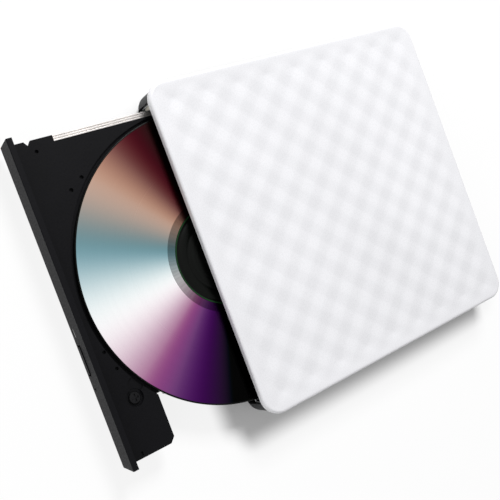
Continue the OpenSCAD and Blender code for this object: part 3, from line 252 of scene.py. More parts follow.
def grouped(tree, name, wire, inputs):
    """A node of a shared shader group, which is wired up the first time that it is asked for."""
    group = bpy.data.node_groups.get(name)
    if group is None:
        group = bpy.data.node_groups.new(name, "ShaderNodeTree")
        for label, value in inputs.items():
            group.interface.new_socket(label, in_out="INPUT", socket_type=SOCKETS[type(value)])
        results = wire(group, group.nodes.new("NodeGroupInput").outputs)
        for label in results:
            group.interface.new_socket(label, in_out="OUTPUT", socket_type="NodeSocketFloat")
        feed(group, group.nodes.new("NodeGroupOutput"), results)
    return place(tree, "ShaderNodeGroup", inputs, node_tree=group).outputs


# Shared effects

def wire_grain(group, given):
    """Fine spark-eroded grain with slow clouding, as on moulded plastic."""
    where = object_place(group)
    cloud = noise(group, where, given["Cloud size"], 4.0, 0.55)
    fine = noise(group, where, given["Grain size"], 2.0, 0.6)
    pits = cells(group, where, given["Grain size"], "Distance")
    return {
        "Cloud": spread(group, cloud, 0.0, 1.0, 0.3, 0.7),
        "Speck": spread(group, fine, 0.0, 1.0, 0.35, 0.65),
        "Height": maths(group, "MULTIPLY_ADD", pits, 0.5, fine),
    }


def moulded_grain(tree, grain, cloud):
    return grouped(tree, "Moulded grain", wire_grain, {"Grain size": grain, "Cloud size": cloud})


def wire_streaks(group, given):
    """Fine streaks along one direction with scattered spangle, as on rolled or drawn metal."""
    where = object_place(group)
    pulled = place(group, "ShaderNodeVectorMath", {0: where, 1: given["Stretch"]}, operation="MULTIPLY")
    streak = noise(group, pulled.outputs[0], 1.0, 3.0, 0.6)
    spangle = cells(group, where, given["Spangle size"], "Color")
    return {
        "Streak": spread(group, streak, 0.0, 1.0, 0.3, 0.7),
        "Spangle": place(group, "ShaderNodeSeparateColor", {"Color": spangle}).outputs["Red"],
        "Height": streak,
    }


# Finishes: each one wires a new material's tree and its shader

def plastic(tree, shader, tint, rough, grain, cloud, relief, shift=0.12, gloss=0.3):
    """Moulded plastic: clouded colour, speckled roughness and fine relief."""
    effect = moulded_grain(tree, grain, cloud)
    body = blend(tree, effect["Cloud"], rgba(tint, 1.0 - shift), rgba(tint, 1.0 + shift))
    flecks = maths(tree, "MULTIPLY", effect["Speck"], 0.25)
    feed(tree, shader, {
        "Base Color": blend(tree, flecks, body, rgba(tint, 1.0 + 2.5 * shift)),
        "Roughness": spread(tree, effect["Speck"], *rough),
        "Normal": bump(tree, effect["Height"], relief, 0.03),
        "Specular IOR Level": gloss,
    })


def metal(tree, shader, tint, rough, stretch, spangle, patch, relief=0.08):
    """Rolled, drawn or turned metal with streaks and spangle."""
    effect = grouped(tree, "Drawn metal", wire_streaks, {"Stretch": stretch, "Spangle size": spangle})
    feed(tree, shader, {
        "Base Color": blend(tree, effect["Spangle"], rgba(tint, 1.0 - patch), rgba(tint, 1.0 + patch)),
        "Roughness": spread(tree, effect["Streak"], *rough),
        "Normal": bump(tree, effect["Height"], relief, 0.02),
        "Metallic": 1.0,
    })


def lid_white(tree, shader, tint):
    """White moulded lid under a thin gloss, with slow clouding."""
    effect = moulded_grain(tree, 1800.0, 22.0)
    feed(tree, shader, {
        "Base Color": blend(tree, effect["Cloud"], rgba(tint, 0.965), rgba(tint, 1.02)),
        "Roughness": spread(tree, effect["Speck"], 0.24, 0.32),
        "Normal": bump(tree, effect["Height"], 0.02, 0.02),
        "Coat Weight": 0.25,
        "Coat Roughness": 0.18,
    })


# Painted reflection: hues of the disc's rainbow sheen and glare, painted into the mirror's colour, by degrees
# round the hub over half a turn
PAINTED_SHEEN_START = 180
PAINTED_SHEEN = (
    (188, (0.006, 0.003, 0.003)),  # dark
    (207, (0.14, 0.048, 0.044)),  # red-brown
    (223, (0.46, 0.30, 0.23)),  # tan
    (250, (0.17, 0.31, 0.35)),  # teal
    (278, (0.90, 0.90, 0.91)),  # glare, a painted highlight
    (303, (0.41, 0.20, 0.33)),  # mauve
    (318, (0.12, 0.032, 0.15)),  # violet
    (340, (0.004, 0.002, 0.008)),  # dark
)
BLACK = (0.0, 0.0, 0.0, 1.0)
# Radius of the painted green highlight on the disc's ring
PAINTED_GLINT_RADIUS = 20.0 * MM


def disc_polar(tree):
    """Distance from the hub and turn around it."""
    inputs = {"Vector": object_place(tree), "Location": (-HUB.x, -HUB.y, 0.0)}
    axes = split(tree, place(tree, "ShaderNodeMapping", inputs).outputs[0])
    return root_of_squares(tree, axes["X"], axes["Y"]), maths(tree, "ARCTAN2", axes["Y"], axes["X"])


def painted_sheen_ramp(tree, angle):
    """The colour of the painted sheen at a turn round the hub: a painted reflection."""
    turn = maths(tree, "FRACT", maths(tree, "DIVIDE", maths(tree, "ADD", angle, math.pi), math.pi))
    ramp = place(tree, "ShaderNodeValToRGB", {"Fac": turn})
    ramp.color_ramp.interpolation = "CARDINAL"
    stops = ramp.color_ramp.elements
    while len(stops) < len(PAINTED_SHEEN):
        stops.new(0.5)
    for stop, (degrees, tint) in zip(stops, PAINTED_SHEEN):
        stop.position = (degrees - PAINTED_SHEEN_START) / 180
        stop.color = rgba(tint)
    return ramp.outputs["Color"]


def ring_noise(tree, value, scale, detail=1.0):
    """Noise along one value, such as the distance from the hub."""
    inputs = {"W": maths(tree, "MULTIPLY", value, scale), "Scale": 1.0, "Detail": detail}
    return place(tree, "ShaderNodeTexNoise", inputs, noise_dimensions="1D").outputs["Fac"]


def disc_mirror(tree, shader, dim, strokes):
    """Mirror under fine tracks: a painted reflection of a rainbow sheen that turns round the hub, darkened by
    dim, with faint rings and radial strokes.
    """
    away, angle = disc_polar(tree)
    rings = ring_noise(tree, away, 350.0)
    rays = ring_noise(tree, angle, 22.0)
    # Painted reflection: the sheen's hues become the base colour, mixed towards black by dim
    tint = blend(tree, dim, painted_sheen_ramp(tree, angle), BLACK)
    tint = blend(tree, spread(tree, rings, 0.0, 0.02, 0.35, 0.65), tint, BLACK)
    tint = blend(tree, spread(tree, rays, 0.0, strokes, 0.35, 0.65), tint, BLACK)
    feed(tree, shader, {
        "Base Color": tint,
        "Roughness": spread(tree, rings, 0.24, 0.28),
        "Metallic": 1.0,
        "Coat Weight": 0.04,
        "Coat Roughness": 0.1,
    })


def disc_clear(tree, shader):
    """Clear moulded hub of the disc over the dark turntable, with a painted green highlight on its ring."""
    away = disc_polar(tree)[0]
    rings = ring_noise(tree, away, 1200.0, 2.0)
    # Painted highlight: a thin green ring mixed into the hub's colour
    off_ring = maths(tree, "ABSOLUTE", maths(tree, "SUBTRACT", away, PAINTED_GLINT_RADIUS))
    painted_highlight = spread(tree, off_ring, 1.0, 0.0, 0.1 * MM, 0.35 * MM)
    plain = blend(tree, rings, (0.001, 0.001, 0.001, 1.0), (0.003, 0.004, 0.003, 1.0))
    feed(tree, shader, {
        "Base Color": blend(tree, painted_highlight, plain, (0.010, 0.045, 0.014, 1.0)),
        "Roughness": spread(tree, rings, 0.28, 0.36),
        "Specular IOR Level": 0.08,
    })


def board_green(tree, shader, tint):
    """Circuit board: lacquer over tracks that run in steps, with tinned spots."""
    where = object_place(tree)
    tracks = spread(tree, cells(tree, where, 420.0, "Distance", distance="MANHATTAN"), 0.0, 1.0, 0.42, 0.5)
    pads = spread(tree, cells(tree, where, 330.0, "Distance"), 1.0, 0.0, 0.10, 0.14)
    lacquer = blend(tree, tracks, rgba(tint, 0.75), rgba(tint, 1.9))
    feed(tree, shader, {
        "Base Color": blend(tree, pads, lacquer, (0.62, 0.60, 0.55, 1.0)),
        "Roughness": spread(tree, pads, 0.32, 0.25),
        "Metallic": pads,
        "Normal": bump(tree, tracks, 0.3, 0.04),
    })


def ribbon_film(tree, shader):
    """Flat ribbon: pale film with conductors along it."""
    inputs = {"Vector": object_place(tree), "Scale": 320.0}
    bands = place(tree, "ShaderNodeTexWave", inputs, wave_type="BANDS", bands_direction="X").outputs["Fac"]
    feed(tree, shader, {
        "Base Color": blend(tree, bands, (0.66, 0.60, 0.47, 1.0), (0.82, 0.80, 0.74, 1.0)),
        "Roughness": spread(tree, bands, 0.3, 0.45),
        "Normal": bump(tree, bands, 0.3, 0.05),
    })


def lens_glass(tree, shader):
    """Coated lens: deep blue-violet bloom under a clear gloss."""
    bloom = noise(tree, object_place(tree), 300.0, 1.0)
    feed(tree, shader, {
        "Base Color": blend(tree, bloom, (0.010, 0.016, 0.05, 1.0), (0.05, 0.03, 0.10, 1.0)),
        "Roughness": spread(tree, bloom, 0.02, 0.06),
        "Coat Weight": 1.0,
        "IOR": 1.6,
    })


def light_pipe(tree, shader):
    """Unlit clear plastic of the indicator, dark against the bezel."""
    effect = moulded_grain(tree, 1500.0, 400.0)
    feed(tree, shader, {
        "Base Color": blend(tree, effect["Cloud"], (0.010, 0.011, 0.010, 1.0), (0.03, 0.034, 0.028, 1.0)),
        "Roughness": spread(tree, effect["Speck"], 0.14, 0.24),
        "Coat Weight": 0.6,
    })


# Distances from the lid at which the floor's white share rises, and the share at each
FLOOR_NEAR, FLOOR_FADE, FLOOR_FAR = 0.005, 0.016, 0.36
NEAR_SHARE, FADE_SHARE = 0.04, 0.85


def seen_rays(tree):
    """1 for the rays that show a surface: from the camera, from a mirror or through glass."""
    rays = place(tree, "ShaderNodeLightPath").outputs
    mirrored = maths(tree, "MAXIMUM", rays["Is Glossy Ray"], rays["Is Transmission Ray"])
    return maths(tree, "MAXIMUM", rays["Is Camera Ray"], mirrored)


def floor_white(tree, shader):
    """Pale floor that keeps the object's shadow, reads as white and is clear from below."""
    where = object_place(tree)
    cloud = noise(tree, where, 3.0)
    feed(tree, shader, {
        "Base Color": blend(tree, cloud, rgba((0.95,) * 3), rgba((0.97,) * 3)),
        "Roughness": 1.0,
        "Specular IOR Level": 0.0,
    })
    axes = split(tree, where)
    sides = []
    for axis, at, half in (("X", LID_MIDDLE.x, LID_HALF.x), ("Y", LID_MIDDLE.y, LID_HALF.y)):
        off = maths(tree, "ABSOLUTE", maths(tree, "SUBTRACT", axes[axis], at))
        sides.append(maths(tree, "MAXIMUM", maths(tree, "SUBTRACT", off, half), 0.0))
    away = root_of_squares(tree, *sides)
    near = spread(tree, away, NEAR_SHARE, FADE_SHARE, FLOOR_NEAR, FLOOR_FADE, "SMOOTHSTEP")
    far = spread(tree, away, 0.0, 1.0, FLOOR_FAR / 3, FLOOR_FAR)
    share = maths(tree, "MULTIPLY", seen_rays(tree), maths(tree, "MAXIMUM", near, far))
    white = place(tree, "ShaderNodeEmission", {"Strength": 1.0}).outputs[0]
    mixed = place(tree, "ShaderNodeMixShader", {0: share, 1: shader.outputs[0], 2: white}).outputs[0]
    below = place(tree, "ShaderNodeNewGeometry").outputs["Backfacing"]
    clear = place(tree, "ShaderNodeBsdfTransparent").outputs[0]
    surface = place(tree, "ShaderNodeMixShader", {0: below, 1: mixed, 2: clear}).outputs[0]
    feed(tree, tree.nodes["Material Output"], {"Surface": surface})


EVEN = (900.0, 900.0, 900.0)
SHEET = ("sheet steel", metal, "steel", (0.26, 0.42), (50.0, 2600.0, 2600.0), 150.0, 0.1)

# Material name, finish, tint and the finish's other values, for each of the record's slots,
# the disc's zones and the floor
FINISHES = {
    "white_shell": ("lid white", lid_white, "lid"),
    "board_green": ("board lacquer", board_green, "board"),
    "ribbon_film": ("ribbon film", ribbon_film),
    "lens_glass": ("lens glass", lens_glass),
    "clear_plastic": ("light pipe", light_pipe),
    "disc_mirror": ("disc data", disc_mirror, 0.0, 0.0),
    # The mirror band takes the same painted reflection, mixed 0.55 of the way to black
    "disc_band": ("disc band", disc_mirror, 0.55, 0.12),
    "disc_clear": ("disc clear", disc_clear),
    "floor": ("floor white", floor_white),
    # Plastic: roughness, grain, cloud, relief, shift and gloss
    "case_black": ("case black", plastic, "case", (0.46, 0.60), 2200.0, 60.0, 0.45, 0.12, 0.2),
    "tray_black": ("tray black", plastic, "tray", (0.40, 0.60), 1300.0, 55.0, 1.0, 0.2, 0.06),
    "bezel_black": ("bezel black", plastic, "bezel", (0.42, 0.58), 1500.0, 70.0, 0.8, 0.15, 0.06),
    "foot_rubber": ("foot rubber", plastic, "rubber", (0.72, 0.9), 1500.0, 120.0, 0.5, 0.2),
    "chip_black": ("chip black", plastic, "chip", (0.5, 0.62), 4000.0, 300.0, 0.3),
    "sled_plastic": ("sled plastic", plastic, "sled", (0.4, 0.55), 2600.0, 90.0, 0.3),
    "hub_grey": ("hub grey", plastic, "hub", (0.3, 0.42), 2600.0, 120.0, 0.2),
    "white_plastic": ("ivory plastic", plastic, "ivory", (0.4, 0.52), 2400.0, 90.0, 0.2, 0.06),
    # Metal: roughness, stretch, spangle, patch and relief
    "screw_steel": ("screw steel", metal, "screw", (0.2, 0.34), EVEN, 900.0, 0.06),
    "dark_screw": ("dark screw", metal, "dark_screw", (0.3, 0.45), EVEN, 900.0, 0.1),
    "rail_steel": ("rail metal", metal, "rail", (0.30, 0.46), (2600.0, 30.0, 2600.0), 180.0, 0.07, 0.15),
    "bright_steel": SHEET,
    "sheet_steel": SHEET,
    "traverse_metal": ("traverse metal", metal, "traverse", (0.34, 0.5), (70.0, 1800.0, 1800.0), 220.0, 0.1),
    "brass_screw": ("brass", metal, "brass", (0.2, 0.32), (1500.0, 1500.0, 200.0), 700.0, 0.06),
    "copper_coil": ("copper wire", metal, "copper", (0.25, 0.4), (200.0, 200.0, 5000.0), 1200.0, 0.12, 0.6),
}


def finish_for(slot):
    """The material of a slot, wired up the first time that it is asked for."""
    name, wire, *values = FINISHES[slot]
    material = bpy.data.materials.get(name)
    if material is None:
        material = bpy.data.materials.new(name)
        material.use_nodes = True
        tree = material.node_tree
        values = [getattr(finish(), value) if isinstance(value, str) else value for value in values]
        wire(tree, tree.nodes["Principled BSDF"], *values)
    return material


# Mesh helpers

SHARP = math.radians(35)
FLAT = math.radians(0.3)
SAME_POINT = 1e-6


def smooth(mesh, angle=SHARP):
    """Smooth shading that keeps the sharp edges."""
    mesh.polygons.foreach_set("use_smooth", [True] * len(mesh.polygons))
    mesh.set_sharp_from_angle(angle=angle)
    mesh.update()


def piece(name, shape, *materials):
    """A new piece with the shape built in a bmesh."""
    mesh = bpy.data.meshes.new(name)
    shape.to_mesh(mesh)
    shape.free()
    for material in materials:
        mesh.materials.append(material)
    made = bpy.data.objects.new(name, mesh)
    bpy.context.scene.collection.objects.link(made)
    return made


def applied(made):
    """The evaluated shape as a plain mesh, with the modifiers removed."""
    bpy.context.view_layer.update()
    graph = bpy.context.evaluated_depsgraph_get()
    shown = made.evaluated_get(graph)
    mesh = bpy.data.meshes.new_from_object(shown, preserve_all_data_layers=True, depsgraph=graph)
    made.modifiers.clear()
    old = made.data
    made.data = mesh
    bpy.data.meshes.remove(old)
    mesh.name = made.name


def set_off(made, body, slot, *nodes):
    """The piece rides on its body and stands for the solids named, which are hidden. Its slot is not used."""
    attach(made, body)
    if nodes:
        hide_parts(*nodes)


def solid_shape(node):
    """A solid's shape as one closed bmesh."""
    shape = bmesh.new()
    shape.from_mesh(NODES[node].data)
    bmesh.ops.remove_doubles(shape, verts=shape.verts, dist=SAME_POINT)
    return shape


def softened(node, name, edge, material=None, steps=2, angle=40):
    """A solid's shape with small rounded edges, which stands for the solid."""
    shape = solid_shape(node)
    bmesh.ops.dissolve_limit(
        shape, angle_limit=FLAT, verts=shape.verts, edges=shape.edges, delimit={"NORMAL"}
    )
    made = piece(name, shape, material or finish_for(SLOT_OF[node]))
    rounding = made.modifiers.new("edges", "BEVEL")
    rounding.width = edge
    rounding.segments = steps
    rounding.limit_method = "ANGLE"
    rounding.angle_limit = math.radians(angle)
    rounding.use_clamp_overlap = True
    rounding.miter_outer = "MITER_ARC"
    applied(made)
    smooth(made.data)
    weighed = made.modifiers.new("normals", "WEIGHTED_NORMAL")
    weighed.keep_sharp = True
    applied(made)
    set_off(made, BODY_OF[node], SLOT_OF[node], node)


def dress(node):
    """A solid whose shape is right gets its finish."""
    slots = NODES[node].data.materials
    slots.clear()
    slots.append(finish_for(SLOT_OF[node]))


def islands(node):
    """Lowest and highest corner of each separate solid in a node."""
    shape = solid_shape(node)
    left = set(shape.verts)
    found = []
    while left:
        stack = [left.pop()]
        points = []
        while stack:
            vert = stack.pop()
            points.append(vert.co.copy())
            for edge in vert.link_edges:
                other = edge.other_vert(vert)
                if other in left:
                    left.remove(other)
                    stack.append(other)
        low = Vector(min(p[i] for p in points) for i in range(3))
        high = Vector(max(p[i] for p in points) for i in range(3))
        found.append((low, high))
    shape.free()
    return sorted(found, key=lambda pair: tuple(round(v, 5) for v in pair[0]))


def skin(shape, loops):
    """Faces between each closed loop of points and the next."""
    for near, after in zip(loops, loops[1:]):
        for k in range(len(near)):
            n = (k + 1) % len(near)
            shape.faces.new((near[k], near[n], after[n], after[k]))


def capped(shape, loops):
    """A skin that is closed at both ends."""
    skin(shape, loops)
    shape.faces.new(loops[0])
    shape.faces.new(loops[-1])


def turned(shape, profile, centre, steps):
    """A closed profile of (radius, height) turned round an upright axis."""
    loops = []
    for i in range(steps):
        c, s = math.cos(2 * math.pi * i / steps), math.sin(2 * math.pi * i / steps)
        loops.append([shape.verts.new((centre.x + r * c, centre.y + r * s, z)) for r, z in profile])
    skin(shape, loops + loops[:1])


def oblong(outer, inner, low, high):
    """The four corners of an upright section, from outside to inside."""
    return (outer, low), (outer, high), (inner, high), (inner, low)


def faced_out(shape):
    bmesh.ops.recalc_face_normals(shape, faces=shape.faces)


# Geometry trees

def run_tree(made, name, wire, values):
    """Runs a geometry tree on a piece and keeps the plain mesh. The tree is wired up the first time."""
    tree = bpy.data.node_groups.get(name)
    if tree is None:
        tree = bpy.data.node_groups.new(name, "GeometryNodeTree")
        tree.interface.new_socket("Geometry", in_out="INPUT", socket_type="NodeSocketGeometry")
        for label, value in values.items():
            tree.interface.new_socket(label, in_out="INPUT", socket_type=SOCKETS[type(value)])
        tree.interface.new_socket("Geometry", in_out="OUTPUT", socket_type="NodeSocketGeometry")
        given = tree.nodes.new("NodeGroupInput").outputs
        real = place(tree, "GeometryNodeRealizeInstances", {"Geometry": wire(tree, given)}).outputs[0]
        dressed = place(tree, "GeometryNodeSetMaterial", {"Geometry": real, "Material": given["Material"]})
        feed(tree, tree.nodes.new("NodeGroupOutput"), {"Geometry": dressed.outputs[0]})
    modifier = made.modifiers.new(name, "NODES")
    modifier.node_group = tree
    for socket in tree.interface.items_tree:
        if socket.name in values:
            modifier[socket.identifier] = values[socket.name]
    applied(made)


def wire_emboss(tree, given):
    """Two crossing families of ridges at 45 degrees that sink the panel between them."""
    axes = split(tree, place(tree, "GeometryNodeInputPosition").outputs[0])
    half = maths(tree, "DIVIDE", given["Pitch"], 2.0)
    waves = []
    for sign in (1.0, -1.0):
        across = maths(tree, "MULTIPLY_ADD", axes["Y"], sign, axes["X"])
        line = maths(tree, "ABSOLUTE", maths(tree, "MULTIPLY", across, math.sqrt(0.5)))
        share = maths(tree, "DIVIDE", maths(tree, "PINGPONG", line, half), half)
        straight = maths(tree, "SUBTRACT", 1.0, share)
        swung = maths(tree, "COSINE", maths(tree, "MULTIPLY", share, math.pi))
        soft = maths(tree, "MULTIPLY_ADD", swung, 0.5, 0.5)
        gap = maths(tree, "SUBTRACT", soft, straight)
        waves.append(maths(tree, "MULTIPLY_ADD", gap, given["Softness"], straight))
    both = maths(tree, "MULTIPLY", maths(tree, "ADD", *waves), 0.5)
    gaps = []
    for axis, label in (("X", "Half width"), ("Y", "Half depth")):
        gaps.append(maths(tree, "SUBTRACT", given[label], maths(tree, "ABSOLUTE", axes[axis])))
    fade = spread(tree, maths(tree, "MINIMUM", *gaps), 0.0, 1.0, 0.0, given["Run-out"])
    deep = maths(tree, "MULTIPLY", given["Depth"], -1.0)
    sink = maths(tree, "MULTIPLY", maths(tree, "MULTIPLY", both, fade), deep)
    upper = place(tree, "GeometryNodeInputNamedAttribute", {"Name": "panel"}, data_type="FLOAT").outputs[0]
    offset = joined(tree, Z=maths(tree, "MULTIPLY", sink, upper))
    moved = place(tree, "GeometryNodeSetPosition", {"Geometry": given["Geometry"], "Offset": offset})
    return moved.outputs[0]


def raised(tree, shape, height):
    inputs = {"Geometry": shape, "Translation": joined(tree, Z=height)}
    return place(tree, "GeometryNodeTransform", inputs).outputs[0]


def cylinder(tree, sides, radius, height):
    inputs = {"Vertices": sides, "Radius": radius, "Depth": height}
    return place(tree, "GeometryNodeMeshCylinder", inputs).outputs["Mesh"]


def on_points(tree, points, shape, **inputs):
    spots = place(tree, "GeometryNodeMeshToPoints", {"Mesh": points}).outputs[0]
    inputs.update(Points=spots, Instance=shape)
    return place(tree, "GeometryNodeInstanceOnPoints", inputs).outputs[0]


HEAD_SIDES, SHANK_SIDES = 32, 24
RIM_SHARE = 0.3
RECESS_REACH = 1.25
RECESS_DEPTH = 1.1


def wire_screw(tree, given):
    """A cross-recessed screw on each point: chamfered head and shank."""
    radius, height = given["Head radius"], given["Head height"]
    rim = maths(tree, "MULTIPLY", height, RIM_SHARE)
    plain = maths(tree, "SUBTRACT", height, rim)
    crown = place(tree, "GeometryNodeMeshCone", {
        "Vertices": HEAD_SIDES, "Radius Top": maths(tree, "SUBTRACT", radius, rim), "Radius Bottom": radius,
        "Depth": rim,
    }).outputs["Mesh"]
    drum = raised(tree, cylinder(tree, HEAD_SIDES, radius, plain), maths(tree, "MULTIPLY", plain, 0.5))
    head = place(tree, "GeometryNodeMeshBoolean", operation="UNION", solver="EXACT")
    tree.links.new(drum, head.inputs["Mesh 2"])
    tree.links.new(raised(tree, crown, plain), head.inputs["Mesh 2"])
    arm = maths(tree, "MULTIPLY", radius, RECESS_REACH)
    width = maths(tree, "MULTIPLY", radius, given["Recess share"])
    deep = maths(tree, "MULTIPLY", height, RECESS_DEPTH)
    cut = place(tree, "GeometryNodeMeshBoolean", operation="DIFFERENCE", solver="EXACT")
    tree.links.new(head.outputs[0], cut.inputs["Mesh 1"])
    for x, y in ((arm, width), (width, arm)):
        bar = place(tree, "GeometryNodeMeshCube", {"Size": joined(tree, X=x, Y=y, Z=deep)}).outputs["Mesh"]
        tree.links.new(raised(tree, bar, height), cut.inputs["Mesh 2"])
    reach = given["Shank length"]
    shank = cylinder(tree, SHANK_SIDES, given["Shank radius"], reach)
    shank = raised(tree, shank, maths(tree, "MULTIPLY", reach, -0.5))
    whole = place(tree, "GeometryNodeJoinGeometry")
    tree.links.new(cut.outputs[0], whole.inputs[0])
    tree.links.new(shank, whole.inputs[0])
    turn = joined(tree, X=maths(tree, "MULTIPLY", given["Flip"], math.pi))
    return on_points(tree, given["Geometry"], whole.outputs[0], Rotation=turn)


def wire_contacts(tree, given):
    """A row of thin contact strips, one on each point of a line across."""
    width = maths(tree, "MULTIPLY", maths(tree, "SUBTRACT", given["Count"], 1.0), given["Pitch"])
    start = joined(tree, X=maths(tree, "MULTIPLY", width, -0.5))
    first = place(tree, "ShaderNodeVectorMath", {0: given["Middle"], 1: start}, operation="ADD").outputs[0]
    line = place(tree, "GeometryNodeMeshLine", {
        "Count": given["Count"], "Start Location": first, "Offset": joined(tree, X=given["Pitch"])
    }).outputs[0]
    return on_points(tree, line, place(tree, "GeometryNodeMeshCube", {"Size": given["Size"]}).outputs["Mesh"])


# Lid

CORNER_STEPS = 10
EDGE_STEPS = 7
SUNK = 0.3 * MM  # how far inner pieces run into the lid's wall
LIP_INSET, LIP_THICK, LIP_DROP = 2.8 * MM, 1.05 * MM, 1.5 * MM
BOSS_OUTER, BOSS_INNER, BOSS_FOOT, BOSS_STEPS = 2.8 * MM, 1.25 * MM, 12.4 * MM, 32
RIB_OFF, RIB_HALF, RIB_FOOT = 32 * MM, 0.6 * MM, 15.6 * MM
RIB_FRONT, RIB_BACK = -46 * MM, 40 * MM


def lid_rows(half_d, half_w, corner, step):
    """Rows of the panel from front to back: place, half width, and the outward turn at the row's ends."""
    flank = half_d - corner
    ends = []
    for k in range(CORNER_STEPS, 0, -1):
        turn = QUARTER * k / CORNER_STEPS
        ends.append((flank + corner * math.sin(turn), half_w - corner + corner * math.cos(turn), turn))
    count = max(2, round(2 * flank / step))
    straight = [(-flank + 2 * flank * i / count, half_w, 0.0) for i in range(count + 1)]
    front = [(-y, w, -turn) for y, w, turn in ends]
    return front + straight + ends[::-1]


def lid_shape():
    """Panel grid, rolled edge, skirt and inside of the lid, and the outline that the rings follow."""
    s = sizes()
    top = LID_HIGH.z
    half_w, half_d = LID_HALF.x - s.lid_border, LID_HALF.y - s.lid_border
    rows = lid_rows(half_d, half_w, s.lid_corner - s.lid_border, s.panel_step)
    columns = round(2 * half_w / s.panel_step)
    shape = bmesh.new()
    mark = shape.verts.layers.float.new("panel")
    grid = []
    for y, w, turn in rows:
        across = [LID_MIDDLE.x + w * (2 * i / columns - 1) for i in range(columns + 1)]
        grid.append([shape.verts.new((x, LID_MIDDLE.y + y, top)) for x in across])
    for near, after in zip(grid, grid[1:]):
        for i in range(columns):
            shape.faces.new((near[i], near[i + 1], after[i + 1], after[i]))
    for vert in shape.verts:
        vert[mark] = 1.0
    outward = [(math.cos(turn), math.sin(turn)) for y, w, turn in rows]
    left = [(row[0], Vector((-x, y, 0))) for row, (x, y) in zip(grid, outward)]
    right = [(row[-1], Vector((x, y, 0))) for row, (x, y) in zip(grid, outward)]
    edge = [(v, Vector((0, -1, 0))) for v in grid[0][:-1]] + right[:-1]
    edge += [(v, Vector((0, 1, 0))) for v in grid[-1][:0:-1]] + left[:0:-1]
    outline = [(v.co.copy(), out) for v, out in edge]

    def ring(inset, z):
        spots = [at + out * (s.lid_border - inset) for at, out in outline]
        return [shape.verts.new((spot.x, spot.y, z)) for spot in spots]

    low = top - s.lid_skirt
    levels = [[v for v, out in edge], ring(s.lid_edge, top)]
    for k in range(1, EDGE_STEPS + 1):
        turn = QUARTER * k / EDGE_STEPS
        levels.append(ring(s.lid_edge * (1 - math.sin(turn)), top - s.lid_edge * (1 - math.cos(turn))))
    soft = s.moulded_edge
    levels += [ring(0, low + soft), ring(soft, low), ring(s.lid_wall - soft, low)]
    levels += [ring(s.lid_wall, low + soft), ring(s.lid_wall, top - s.lid_wall)]
    skin(shape, levels)
    shape.faces.new(levels[-1])
    bmesh.ops.remove_doubles(shape, verts=shape.verts, dist=SAME_POINT / 10)
    faced_out(shape)
    return shape, outline


def add_lip(shape, outline, low, high):
    """Strip that drops inside the case along the sides and the back."""
    s = sizes()
    front = min(at.y for at, out in outline) + s.lid_corner
    run = [(at, out) for at, out in outline if at.y > front]
    start = max(range(len(run)), key=lambda i: (run[i][0] - run[i - 1][0]).length)
    loops = []
    for at, out in run[start:] + run[:start]:
        outer = at + out * (s.lid_border - LIP_INSET)
        inner = at + out * (s.lid_border - LIP_INSET - LIP_THICK)
        loops.append([shape.verts.new((p.x, p.y, z)) for p, z in oblong(outer, inner, low, high)])
    capped(shape, loops)


def add_rib(shape, x, high):
    """Rib under the lid that holds the drive down."""
    loops = []
    for y in (RIB_FRONT, RIB_BACK):
        corners = oblong(x - RIB_HALF, x + RIB_HALF, RIB_FOOT, high)
        loops.append([shape.verts.new((across, y, z)) for across, z in corners])
    capped(shape, loops)


class DRIVE_OT_lid(bpy.types.Operator):
    """Embossed white lid with its lip, screw bosses and ribs"""

    bl_idname = "drive.lid"
    bl_label = "Lid"

    def execute(self, context):
        s = sizes()
        shape, outline = lid_shape()
        inner_top = LID_HIGH.z - s.lid_wall + SUNK
        add_lip(shape, outline, LID_HIGH.z - s.lid_skirt - LIP_DROP, inner_top)
        for low, high in islands("case_screws"):
            profile = oblong(BOSS_OUTER, BOSS_INNER, BOSS_FOOT, inner_top)
            turned(shape, profile, (low + high) / 2, BOSS_STEPS)
        for x in (-RIB_OFF, RIB_OFF):
            add_rib(shape, x, inner_top)
        faced_out(shape)
        made = piece("lid", shape)
        run_tree(made, "Lid emboss", wire_emboss, {
            "Pitch": s.emboss_pitch, "Depth": s.emboss_depth, "Softness": s.emboss_soften,
            "Half width": LID_HALF.x - s.lid_border, "Half depth": LID_HALF.y - s.lid_border,
            "Run-out": s.emboss_fade, "Material": finish_for("white_shell"),
        })
        smooth(made.data)
        set_off(made, "housing", "white_shell", "top_cover")
        return {"FINISHED"}


# Case, tray and disc

FOOT_EDGE = 0.4 * MM
CONTACTS, CONTACT_PITCH, CONTACT_GAP = 5, 0.9 * MM, 0.1 * MM
CONTACT_WIDTH, CONTACT_SHARE, CONTACT_THICK = 0.45 * MM, 0.7, 0.06 * MM


class DRIVE_OT_case(bpy.types.Operator):
    """Black case, its feet and the cable socket"""

    bl_idname = "drive.case"
    bl_label = "Case"

    def execute(self, context):
        s = sizes()
        softened("bottom_case", "case", s.moulded_edge)
        softened("rubber_feet", "feet", FOOT_EDGE, steps=3)
        softened("usb_socket", "cable_socket", s.sheet_edge)
        softened("usb_tongue", "cable_socket_tongue", s.sheet_edge)
        low, high = span("usb_tongue")
        strip = Vector((CONTACT_WIDTH, CONTACT_SHARE * (high.y - low.y), CONTACT_THICK))
        made = piece("cable_socket_contacts", bmesh.new())
        run_tree(made, "Contacts", wire_contacts, {
            "Count": CONTACTS, "Pitch": CONTACT_PITCH, "Size": strip,
            "Middle": Vector(((low.x + high.x) / 2, high.y - CONTACT_GAP - strip.y / 2, low.z)),
            "Material": finish_for("brass_screw"),
        })
        set_off(made, "housing", "brass_screw")
        return {"FINISHED"}


# Screws: head height and shank radius in millimetres, and whether the head is underneath
SCREWS = {
    "case_screws": (1.4, 1.2, True),
    "plate_screws": (0.6, 0.8, False),
    "cover_screws": (0.45, 0.8, True),
    "damper_screws": (0.6, 0.8, True),
    "wing_screw": (0.8, 0.8, False),
}
SCREW_SHARP = math.radians(25)


